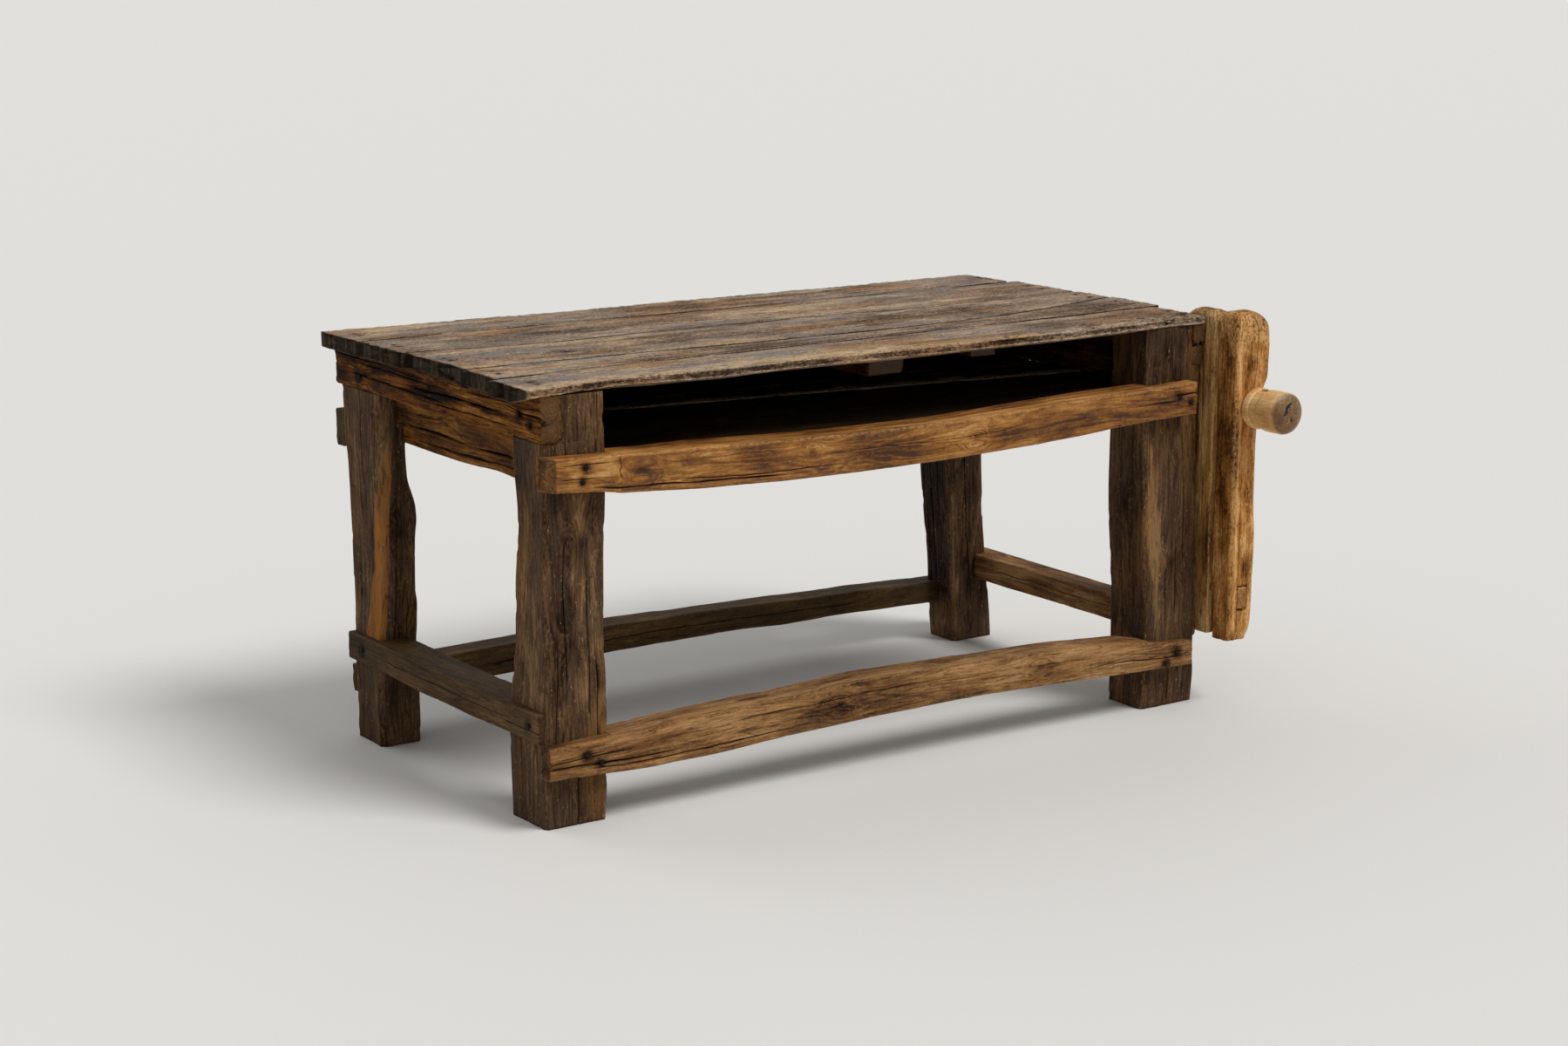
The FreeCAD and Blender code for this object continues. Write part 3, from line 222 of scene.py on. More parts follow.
# %% Stations along the timber
def stations(span, steps, notches, fine):
    """Places along the timber, closer at the edges of notches and wherever a shape is fine."""
    t = np.linspace(*span, max(8, int((span[1] - span[0]) / steps)))
    for a, b, *_ in notches:
        t = np.append(t, [a - 0.0002, a + 0.0002, b - 0.0002, b + 0.0002])
    for a, b, pitch in fine:
        t = np.append(t, np.arange(a, b, pitch))
    return np.unique(np.clip(t, *span))


print("stations", stations((0, 0.1), 0.03, [(0.05, 0.2)], []).round(4))


# %% The section at each station
def section(t, sides, notches, arris, ease, seed):
    """The four edges, the four arris radii and the four side lengths of the section."""
    low_b, high_b, low_c, high_c = (soften(sized(side, t), ease) for side in sides)
    edges = {3: low_b, 1: high_b, 0: low_c, 2: high_c}
    for a, b, side, size in notches:
        edges[side][(t > a) & (t < b)] = size
    swell = (1 + 0.4 * noise(stretched(t * 9, t * 0 + seed, t * 0, 1, 1), seed))
    largest = 0.46 * np.minimum(high_b - low_b, high_c - low_c)
    sizes = arris if isinstance(arris, tuple) else (arris,) * 4
    radii = [np.minimum(sized(size, t) * swell, largest) for size in sizes]
    lengths = (np.median(high_b - low_b), np.median(high_c - low_c)) * 2
    return edges, radii, lengths


trial = section(np.array([0.0, 0.5]), (0, 100, 0, [(0, 80), (500, 60)]), [], 4.0, 1, 1)
print("heights of a tapered section", trial[0][2], "arris radii", trial[1][0].round(4))


# %% The columns of a ring
def columns_round(lengths, radii, grid, splits):
    """Flat columns as (side, share, split, offset), with five for each split, and arris columns
    as (side, turn), with no offset."""
    columns = []
    for side in range(4):
        flats = [(share, None, 0.0) for share in np.linspace(0.02, 0.98, max(2, int(lengths[side] / grid)))]
        for number, split in enumerate(splits):
            if split[0] == side:
                near = 2.6 * split[4] * MM / lengths[side]
                flats = [f for f in flats if f[1] is not None or abs(f[0] - split[1]) > near * 1.3]
                for offset in (-2.2, -0.8, 0.0, 0.8, 2.2):
                    flats.append((split[1] + offset * split[4] * MM / lengths[side], number, offset))
        columns += [("flat", side, *flat) for flat in sorted(flats, key=lambda f: f[0])]
        turns = max(4, int(radii[side].max() * 1.57 / grid) + 2)
        columns += [("arris", side, turn) for turn in np.linspace(0, 1, turns)]
    return columns


print("columns round it", len(columns_round(trial[2], trial[1], 0.006, [])))


# %% The rings, with their splits
def wound(t, edges, radii, lengths, columns, splits, seed):
    """Where each column stands at each station, its way out, and its marks."""
    shape = (len(t), len(columns))
    ring = {key: np.zeros(shape) for key in ("b", "c", "split", "sink", "bare", "share")}
    ring["out"] = np.zeros((*shape, 2))
    ring["side"] = np.full(len(columns), -1)
    low_b, high_b, low_c, high_c = edges[3], edges[1], edges[0], edges[2]
    wander = [
        noise(np.stack([t * 7, t * 0 + number * 3.1, t * 0 + seed], -1), seed + 5) * 3.0
        + noise(np.stack([t * 40, t * 0 + number * 5.3, t * 0 + seed], -1), seed + 6) * 0.9
        for number in range(len(splits))
    ]
    flats = {
        0: (low_b + radii[3], low_c, high_b - radii[0], low_c, 0, -1),
        1: (high_b, low_c + radii[0], high_b, high_c - radii[1], 1, 0),
        2: (high_b - radii[1], high_c, low_b + radii[2], high_c, 0, 1),
        3: (low_b, high_c - radii[2], low_b, low_c + radii[3], -1, 0),
    }
    middles = {
        0: (high_b - radii[0], low_c + radii[0], -90), 1: (high_b - radii[1], high_c - radii[1], 0),
        2: (low_b + radii[2], high_c - radii[2], 90), 3: (low_b + radii[3], low_c + radii[3], 180),
    }
    for j, (kind, side, share, *rest) in enumerate(columns):
        if kind == "arris":
            across, up, turn = middles[side]
            angle = math.radians(turn + 90 * share)
            ring["b"][:, j] = across + radii[side] * math.cos(angle)
            ring["c"][:, j] = up + radii[side] * math.sin(angle)
            ring["out"][:, j] = (math.cos(angle), math.sin(angle))
            ring["bare"][:, j] = 0.6 - abs(share - 0.5) * 0.6
            ring["share"][:, j] = 1.0
            continue
        number, offset = rest
        share = np.full(len(t), share)
        for split in splits:
            if split[0] == side and len(split) > 6:
                near = np.minimum(share / split[1], (1 - share) / (1 - split[1]))
                share = share + split[6] * (held((t - split[2]) / (split[3] - split[2])) - 0.5) * near
        if number is not None:
            share = share + wander[number] * MM / lengths[side]
            a, z, gap, depth = splits[number][2:6]
            taper = fade(t, a, z, min(0.12, (z - a) * 0.5)) * (0.75 + 0.25 * np.sin(t * 61 + number))
            profile = {0.0: 1.0, 0.8: 0.55, 2.2: 0.0}[abs(offset)]
            ring["sink"][:, j] = taper * profile * depth * MM
            ring["split"][:, j] = held(taper * 1.6) * profile
        share = np.clip(share, 0.0, 1.0)
        b_from, c_from, b_to, c_to, *out = flats[side]
        ring["b"][:, j] = b_from + (b_to - b_from) * share
        ring["c"][:, j] = c_from + (c_to - c_from) * share
        ring["out"][:, j] = out
        ring["side"][j] = side
        ring["share"][:, j] = share
    return ring


# %% Wear: what moves the skin in and out, and what tints it
def weathered(along, ring, lengths, axis, look, seed):
    """How far each point moves out, its tone, its bareness and how far its fibres are pushed aside."""
    b, c, share, bare = ring["b"], ring["c"], ring["share"], ring["bare"]

    def spots(long, across, number, layers=3):
        """Noise in patches along the grain, in one layer or more."""
        return rough(stretched(along, b, c, long, across), seed + number, layers)

    push = look["wobble"] * MM * spots(6.0, 11.0, 1)
    push += look["ridges"] * MM * spots(14.0, 230.0, 2, 1)
    push += look["ridges"] * 1.6 * MM * spots(5.0, 75.0, 3, 1)
    chip = held(spots(26.0, 20.0, 4) - 0.35)
    push -= look["chips"] * MM * chip * held(bare * 2.3)
    push -= ring["sink"]
    tone = 0.35 * spots(2.2, 7.0, 7, 2)
    shift = np.zeros(along.shape)
    for side, middle, place, size in look["knots"]:
        mask = ring["side"] == side
        reach = (share - middle) * lengths[side]
        away = np.hypot((along - place) * 0.7, reach) / (size * MM)
        lip = np.exp(-((away - 1.0) ** 2) * 3) * 0.9 - np.exp(-(away**2) * 1.6) * 2.2
        push += np.where(mask, lip * MM, 0)
        tone -= np.where(mask, np.exp(-(away**2) * 1.6) * 1.2, 0)
        shift += np.where(mask, reach * 1.6 * np.exp(-(away**2) * 0.16), 0)
    for side, middle, a, z, size, amount in look["strokes"]:
        reach = (share - middle) * lengths[side] / (size * MM)
        reach = reach + 0.7 * spots(16.0, 60.0, 9, 2)
        tone += np.where(ring["side"] == side, amount * np.exp(-(reach**2)) * fade(along, a, z, 0.06), 0)
    for side, middle, place, size_along, size_across, depth in look["hollow"]:
        reach = (share - middle) * lengths[side] / (size_across * MM)
        hole = np.exp(-(reach**2) - ((along - place) / (size_along * MM)) ** 2)
        hole = hole * (1 + 0.35 * spots(45.0, 45.0, 11, 2))
        push -= np.where(ring["side"] == side, depth * MM * hole, 0)
    first, second = CROSS[axis]
    stain = np.full(along.shape, 9.0)
    for nail in nail_places:
        away = (along - nail[axis]) ** 2 + (b - nail[first]) ** 2 + (c - nail[second]) ** 2
        stain = np.minimum(stain, np.sqrt(away))
    halo = stain * 1000 / (11 + 5 * spots(60.0, 60.0, 14, 1))
    tone -= look["ink"] * np.exp(-(halo**2))
    push -= 1.2 * MM * np.exp(-((stain * 1000 / 8) ** 2))
    if look["extra"] is not None:
        more, more_tone, more_bare = look["extra"](along, b, c, ring["side"][None, :] + 0 * b, share)
        push, tone, bare = push + more, tone + more_tone, held(bare + more_bare)
    return push, tone, bare, shift


# %% End grain
# Rings that fill an end, and how far back from it the torn fibres move the skin.
END_RINGS = 6
TORN_REACH = 0.02


def torn(spot, comb, seed):
    """How far the fibres of an end stand out, from 0 to 1.6, and their noise. A comb's stand upright."""
    upright = 20 if comb else 90
    fibre = rough(np.stack([spot[:, 1] * 190, spot[:, 2] * upright, spot[:, 0] * 0 + seed], -1), seed + 12)
    return np.clip(0.55 + 0.45 * fibre, 0, 1.6), fibre


def end_face(rim, ids, base, which, amount, look, seed):
    """Rings that shrink to the middle of an end, pushed in and out along the fibres."""
    way = 1.0 if which == 0 else -1.0
    centre, width = rim.mean(0), len(rim)
    places, marks, quads = [], [], []
    for ring in range(1, END_RINGS + 1):
        spot = centre + (rim - centre) * (1 - ring / (END_RINGS + 1))
        crack = noise(np.stack([spot[:, 1] * 60, spot[:, 2] * 9, spot[:, 0] * 0], -1), seed + 13)
        crack = held(crack - 0.45)
        out, fibre = torn(spot, look["comb"], seed)
        spot[:, 0] += way * amount * MM * (out + 3 * crack)
        for end_of, direction, middle, gap, depth in look["cuts"]:
            if end_of == which:
                off = np.abs(spot[:, 1 + direction] + 0.001 * np.sin(spot[:, 2 - direction] * 200) - middle)
                slot = held(1.5 - off / (gap * 0.5 * MM))
                spot[:, 0] += way * depth * MM * slot
                crack = np.maximum(crack, slot * 0.7)
        places.append(spot)
        tone = (0.9 if look["comb"] else 0.2) * fibre
        # The end's cracks and cut slots go to the split mark, which paints shade in them.
        marks.append(np.stack([crack * 1.4, 0 * crack, tone, 0 * crack + 1, 0 * crack], -1))
        inner = base + np.arange(width)
        loop = np.stack([ids, np.roll(ids, -1), np.roll(inner, -1), inner], -1)
        quads.append(loop[:, ::-1] if which == 0 else loop)
        ids, base = inner, base + width
    places.append(centre[None] + np.array([[way * amount * MM * 0.5, 0, 0]]))
    marks.append(np.array([[0, 0, 0, 1, 0]], float))
    fan = np.stack([ids, np.roll(ids, -1), np.full(width, base)], -1)
    return places, marks, quads, fan[:, ::-1] if which == 0 else fan, base + 1


# %% The timber maker
# How far inside the frame's box every point stays, and what a timber has unless it says otherwise.
MARGIN = 0.1 * MM
PLAIN = dict(
    wobble=0.8, ridges=0.35, chips=4.0, ink=2.8, comb=False, extra=None,
    knots=(), strokes=(), hollow=(), cuts=(),
)


def timber(
    name, node, axis, span, sides, paint, body="bench", steps=6, grid=6, arris=4.0, splits=(), notches=(),
    rag=(1.2, 1.2), ease=9, seed=1, fine=(), form=None, **worn,
):
    """One timber from span[0] to span[1] along an axis, between four side curves, in millimetres.

    sides: the low and high curves of b, then of c. splits: (side, share across, start, end,
    width, depth), and a slope if it climbs. knots: (side, share, place, radius). strokes: (side,
    share, start, end, width, tone). hollow: (side, share, place, length, width, depth). notches:
    (start, end, side, size). cuts: gaps in the ends as (end, 0 for b or 1 for c, place, width,
    depth). rag: how far the two ends are torn, upright with comb. fine: (start, end, pitch) of
    closer stations."""
    look = {**PLAIN, **worn}
    for mark, columns in (("knots", [2]), ("strokes", [2, 3]), ("hollow", [2]), ("cuts", [2])):
        look[mark] = metres(look[mark], *columns)
    splits, notches, fine = metres(splits, 2, 3), metres(notches, 0, 1, 3), metres(fine, 0, 1, 2)
    steps, grid = steps / 1000, grid / 1000
    t = stations([place / 1000 for place in span], steps, notches, fine)
    edges, radii, lengths = section(t, sides, notches, arris, ease, seed)
    columns = columns_round(lengths, radii, grid, splits)
    ring = wound(t, edges, radii, lengths, columns, splits, seed)
    rows, width = len(t), len(columns)
    along = np.repeat(t[:, None], width, 1)
    if form is not None:
        along, ring["b"], ring["c"] = form(along, ring["b"], ring["c"])
    push, tone, bare, shift = weathered(along, ring, lengths, axis, look, seed)
    b = ring["b"] + ring["out"][..., 0] * push
    c = ring["c"] + ring["out"][..., 1] * push

    rims = {which: np.stack([along[which].copy(), b[which], c[which]], -1) for which in (0, -1)}
    for which, amount in ((0, rag[0]), (-1, rag[1])):
        reach = held(1 - np.abs(along - t[which]) / TORN_REACH)
        way = 1.0 if which == 0 else -1.0
        along = along + way * amount * MM * reach * torn(rims[which], look["comb"], seed)[0][None, :]
    index = np.arange(rows * width).reshape(rows, width)
    around = np.roll(index, -1, 1)
    quads = [np.stack([index[:-1], around[:-1], around[1:], index[1:]], -1).reshape(-1, 4)]
    places = [np.stack([along, b, c], -1).reshape(-1, 3)]
    marks = [np.stack([ring["split"], bare, tone, 0 * tone, shift], -1).reshape(-1, 5)]
    triangles, base = [], rows * width
    for which, amount in ((0, rag[0]), (-1, rag[1])):
        more_places, more_marks, more_quads, fan, base = end_face(
            rims[which], index[which], base, which, amount, look, seed
        )
        places, marks, quads = places + more_places, marks + more_marks, quads + more_quads
        triangles.append(fan)
    points, marks = np.concatenate(places), np.concatenate(marks)

    order = [axis, *CROSS[axis]]
    world = np.zeros_like(points)
    world[:, order] = points + corner[order]
    world = np.clip(world, np.array(frame_low) + MARGIN, np.array(frame_high) - MARGIN)
    grain = points.copy()
    if look["comb"]:
        ends = marks[:, 3] > 0
        grain[ends] = points[ends][:, [2, 1, 0]]
    grain[:, 1:] += marks[:, 4:5]
    grain += np.array([seed * 3.7, seed * 1.3, seed * 2.1])
    faces = np.concatenate(quads), np.concatenate(triangles)
    skin(name, node, body, paint, world, *faces, grain, marks)


# %% Write the mesh, its marks and its paint
made_pieces = {}


def linked(name, data):
    """An object with this mesh, light or camera, in the scene."""
    made = bpy.data.objects.new(name, data)
    bpy.context.collection.objects.link(made)
    return made


def dress(name, mesh, node, body, paint):
    """The piece that dresses a node: it takes the paint, rides on its body and hides the node."""
    mesh.materials.append(paint)
    mesh.update()
    piece = linked(name, mesh)
    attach(piece, body)
    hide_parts(node)
    made_pieces[name] = len(mesh.polygons)
    print(f"{name:28s} {len(mesh.polygons):6d} faces")


def skin(name, node, body, paint, world, quads, triangles, grain, marks):
    """Writes a timber's mesh, with its marks and its grain, and dresses the node with it."""
    mesh = bpy.data.meshes.new(name)
    mesh.from_pydata(world.tolist(), [], quads.tolist() + triangles.tolist())
    for label, column in (("split", 0), ("bare", 1), ("tone", 2), ("end", 3)):
        layer = mesh.attributes.new(label, "FLOAT", "POINT")
        layer.data.foreach_set("value", marks[:, column].astype(np.float32))
    layer = mesh.attributes.new("grain", "FLOAT_VECTOR", "POINT")
    layer.data.foreach_set("vector", grain.astype(np.float32).ravel())
    mesh.polygons.foreach_set("use_smooth", [True] * len(mesh.polygons))
    dress(name, mesh, node, body, paint)


# %% [markdown]
# ## Old wood as a paint
# Old oak and pine that was never varnished goes brown in the air, grey where it was wet and pale
# where hands and boots rub it. The paint mixes four browns along the fibres: broad bands for the
# growth rings, thin streaks for the fibres and short dark dashes for drying checks. Patches of grey
# and dirt lie over them. The same patterns feed the roughness and the bump, so the light breaks
# where the colour does.

# %% Colours, and one function that adds a node
def linear(code):
    """An sRGB hex colour as the linear numbers that shaders take."""
    values = [int(code[i : i + 2], 16) / 255 for i in (1, 3, 5)]
    return (*[v / 12.92 if v <= 0.04045 else ((v + 0.055) / 1.055) ** 2.4 for v in values], 1.0)


def add(tree, kind, inputs=None, out=0, **settings):
    """Adds a node and gives one of its outputs; inputs are links or values by socket name or number."""
    made = tree.nodes.new(kind)
    for key, setting in settings.items():
        setattr(made, key, setting)
    for key, given in (inputs or {}).items():
        if isinstance(given, bpy.types.NodeSocket):
            tree.links.new(given, made.inputs[key])
        else:
            made.inputs[key].default_value = given
    return made.outputs[out] if made.outputs else None


def set_stops(colour, stops):
    """Sets a colour ramp's stops from (place, colour) pairs, by the ramp's colour output."""
    elements = colour.node.color_ramp.elements
    while len(elements) < len(stops):
        elements.new(0.5)
    for element, (place, code) in zip(elements, stops):
        element.position = place
        element.color = linear(code)


def new_paint(name):
    """An empty material, with its node tree."""
    paint = bpy.data.materials.new(name)
    paint.use_nodes = True
    paint.node_tree.nodes.clear()
    return paint, paint.node_tree


print("the brown of old oak", [round(v, 3) for v in linear("#765f4b")])


# %% The old wood paint
BLACK, DUST, CRUMB = "#070504", "#170f09", "#c9b087"

# Each pattern by what it follows (the bent fibres or the plain grain), the size of its spots in
# millimetres along the fibres and across them, and its detail, roughness and distortion. Real fibres
# are a tenth of a millimetre wide: their bundles here are 3 mm, and the pits 3 mm by 3.5.
PATTERNS = {
    "sweep": ("flow", 460, 34, 3.0, 0.50, 0.6), "fibres": ("flow", 110, 3, 4.0, 0.66, 0.0),
    "field": ("flow", 300, 60, 3.0, 0.55, 0.0), "slits": ("flow", 42, 3, 2.0, 0.50, 0.0),
    "hairs": ("flow", 380, 30, 3.0, 0.50, 0.0), "patch": ("grain", 170, 80, 5.0, 0.62, 0.0),
    "stain": ("grain", 70, 32, 6.0, 0.68, 0.9), "soil": ("grain", 43, 16, 6.0, 0.72, 0.0),
    "crumbs": ("grain", 8, 4, 4.0, 0.70, 0.0), "pits": ("grain", 3.5, 3, 2.0, 0.60, 0.0),
}
# Growth rings by turns of the sweep, and worm holes by cells a metre along the fibres and across them.
RING_TURNS, WORM_CELLS = 62.0, (90.0, 120.0, 120.0)


def old_wood(
    name, dark, brown, light, pale, grey="#5d564d", greying_and_sheen=0.0, dirt=0.4, checks=0.3, hairs=0.6,
    flecks=0.2, specks=0.2, holes=0.0, figure=0.38, rings=0.7, fibre=0.4, patches=1.0, wear=0.5,
    shine=0.65, mirror=0.1, polish=0.0, relief=0.8, lift=0.0, gold="#8a6029", golden=0.35, gilt="#9a5c1c",
    grit=0.6, pitted=0.75, ends=0.4, end_brown="#20150c",
):
    """Unvarnished old wood: four browns, its growth rings, grey fields of weather (on the top also a
    painted sheen), dirt, drying checks and worm holes.
    """
    paint, tree = new_paint(name)
    marks = {"grain": "Vector", "split": "Fac", "bare": "Fac", "tone": "Fac", "end": "Fac"}
    seen = {}
    for mark, out in marks.items():
        seen[mark] = add(tree, "ShaderNodeAttribute", out=out, attribute_name=mark)
    # Fibres bend by up to a centimetre over a third of a metre.
    wide = add(tree, "ShaderNodeMapping", {"Vector": seen["grain"], "Scale": (3.0, 9.0, 9.0)})
    bend = add(tree, "ShaderNodeTexNoise", {"Vector": wide, "Scale": 1.0, "Detail": 2.0}, out="Color")
    bend = add(tree, "ShaderNodeVectorMath", {0: bend, 1: (0.5, 0.5, 0.5)}, operation="SUBTRACT")
    bend = add(tree, "ShaderNodeVectorMath", {0: bend, 1: (0.0, 0.03, 0.03)}, operation="MULTIPLY")
    seen["flow"] = add(tree, "ShaderNodeVectorMath", {0: seen["grain"], 1: bend}, operation="ADD")
    for title, (base, long, across, detail, roughness, distortion) in PATTERNS.items():
        scale = (1000 / long, 1000 / across, 1000 / across)
        place = add(tree, "ShaderNodeMapping", {"Vector": seen[base], "Scale": scale})
        look = {"Scale": 1.0, "Detail": detail, "Roughness": roughness, "Distortion": distortion}
        seen[title] = add(tree, "ShaderNodeTexNoise", {"Vector": place, **look})
    # Growth rings: the sweep's contours, some 8 mm apart, which close round the knots.
    turn = add(tree, "ShaderNodeMath", {0: seen["sweep"], 1: RING_TURNS}, operation="MULTIPLY")
    seen["rings"] = add(tree, "ShaderNodeMath", {0: turn}, operation="SINE")

    # How light the wood is: a sum of the patterns, each with its share, looked up in the four browns.
    shares = {"sweep": 1.6 * figure, "fibres": 1.3 * fibre, "patch": 1.5 * patches, "crumbs": grit}
    level = 0.5 + lift - sum(shares.values()) / 2
    for title, share in (*shares.items(), ("rings", 0.16 * rings), ("tone", 0.24)):
        level = add(tree, "ShaderNodeMath", {0: seen[title], 1: share, 2: level}, operation="MULTIPLY_ADD")
    seen["level"] = level
    colour = add(tree, "ShaderNodeValToRGB", {"Fac": level})
    set_stops(colour, [(0.12, dark), (0.40, brown), (0.64, light), (0.92, pale)])
    away = add(tree, "ShaderNodeMath", {0: seen["hairs"], 1: 0.5}, operation="SUBTRACT")
    seen["line"] = add(tree, "ShaderNodeMath", {0: away}, operation="ABSOLUTE")
    if holes:
        place = add(tree, "ShaderNodeMapping", {"Vector": seen["grain"], "Scale": WORM_CELLS})
        seen["worm"] = add(tree, "ShaderNodeTexVoronoi", {"Vector": place, "Scale": 1.0})

    # What lies over the browns, each where its two patterns pass from one value to the other:
    # resin and oil, bare heartwood, weather (on the top also a painted sheen), dirt, worn arrises and
    # their pits, drying checks, hairlines, crumbs, worm holes, end grain, and painted shade, black,
    # inside the open splits.
    layers = {
        "gold": (gold, golden, ("field", 0.50, 0.66), ("level", 0.10, 0.70)),
        "gilt": (gilt, 0.85, ("tone", 1.5, 2.3), ("fibres", 0.34, 0.54)),
        # On the top, the grey fields are also a painted sheen.
        "grey": (grey, greying_and_sheen, ("field", 0.53, 0.41), ("stain", 0.38, 0.60), ("tone", -1.0, -0.3)),
        "dirt": (DUST, dirt, ("soil", 0.50, 0.70), ("patch", 0.62, 0.40)),
        "worn": (pale, wear, ("bare", 0.10, 0.75), ("crumbs", 0.36, 0.62)),
        "pit": (dark, pitted, ("bare", 0.62, 0.85), ("pits", 0.46, 0.39)),
        "speck": (BLACK, specks, ("pits", 0.39, 0.33), ("soil", 0.38, 0.54)),
        "check": (BLACK, checks, ("slits", 0.60, 0.67), ("patch", 0.40, 0.60)),
        "hair": (BLACK, hairs, ("line", 0.013, 0.003), ("stain", 0.42, 0.54)),
        "fleck": (CRUMB, flecks, ("crumbs", 0.60, 0.70), ("soil", 0.46, 0.60)),
        "hole": (BLACK, holes, ("worm", 0.16, 0.10), ("patch", 0.42, 0.50)),
        "end": (end_brown, ends, ("end", 0.0, 1.0), ("fibres", 0.86, 0.53)),
        # Painted shade: black inside the splits, as deep as the split mark says.
        "gap": (BLACK, 0.96, ("split", 0.20, 0.75), ("split", 0.0, 0.4)),
    }
    for title, (over, amount, *tests) in layers.items():
        share = amount
        for pattern, low, high in tests if amount else ():
            span = {"Value": seen[pattern], "From Min": low, "From Max": high}
            test = add(tree, "ShaderNodeMapRange", span, interpolation_type="SMOOTHSTEP")
            share = add(tree, "ShaderNodeMath", {0: test, 1: share}, operation="MULTIPLY", use_clamp=True)
        seen[title] = share
        if amount:
            both = {"Factor": share, 6: colour, 7: linear(over)}
            colour = add(tree, "ShaderNodeMix", both, out=2, data_type="RGBA")

    # The relief: fibres and rings stand up, crumbs on worn places, checks and holes sink.
    height = 0.0
    for part, share in (
        ("fibres", 0.9), ("sweep", 0.6), ("rings", 0.03 * rings), ("crumbs", 0.4), ("pit", -0.5),
        ("speck", -0.3), ("check", -0.5), ("hair", -0.5), ("hole", -0.5),
    ):
        height = add(tree, "ShaderNodeMath", {0: seen[part], 1: share, 2: height}, operation="MULTIPLY_ADD")
    bump = add(tree, "ShaderNodeBump", {"Height": height, "Strength": relief, "Distance": 4 * MM})
    # Dust lies in the low places and dulls them; hands and wax shine up the rest.
    gloss = shine - 0.15
    for part, share in (("stain", 0.3), ("gap", 0.3), ("end", -polish)):
        terms = {0: seen[part], 1: share, 2: gloss}
        gloss = add(tree, "ShaderNodeMath", terms, operation="MULTIPLY_ADD", use_clamp=True)
    looks = {"Base Color": colour, "Roughness": gloss, "Normal": bump}
    shader = add(tree, "ShaderNodeBsdfPrincipled", {**looks, "IOR": 1.45, "Specular IOR Level": mirror})
    add(tree, "ShaderNodeOutputMaterial", {"Surface": shader})
    return paint


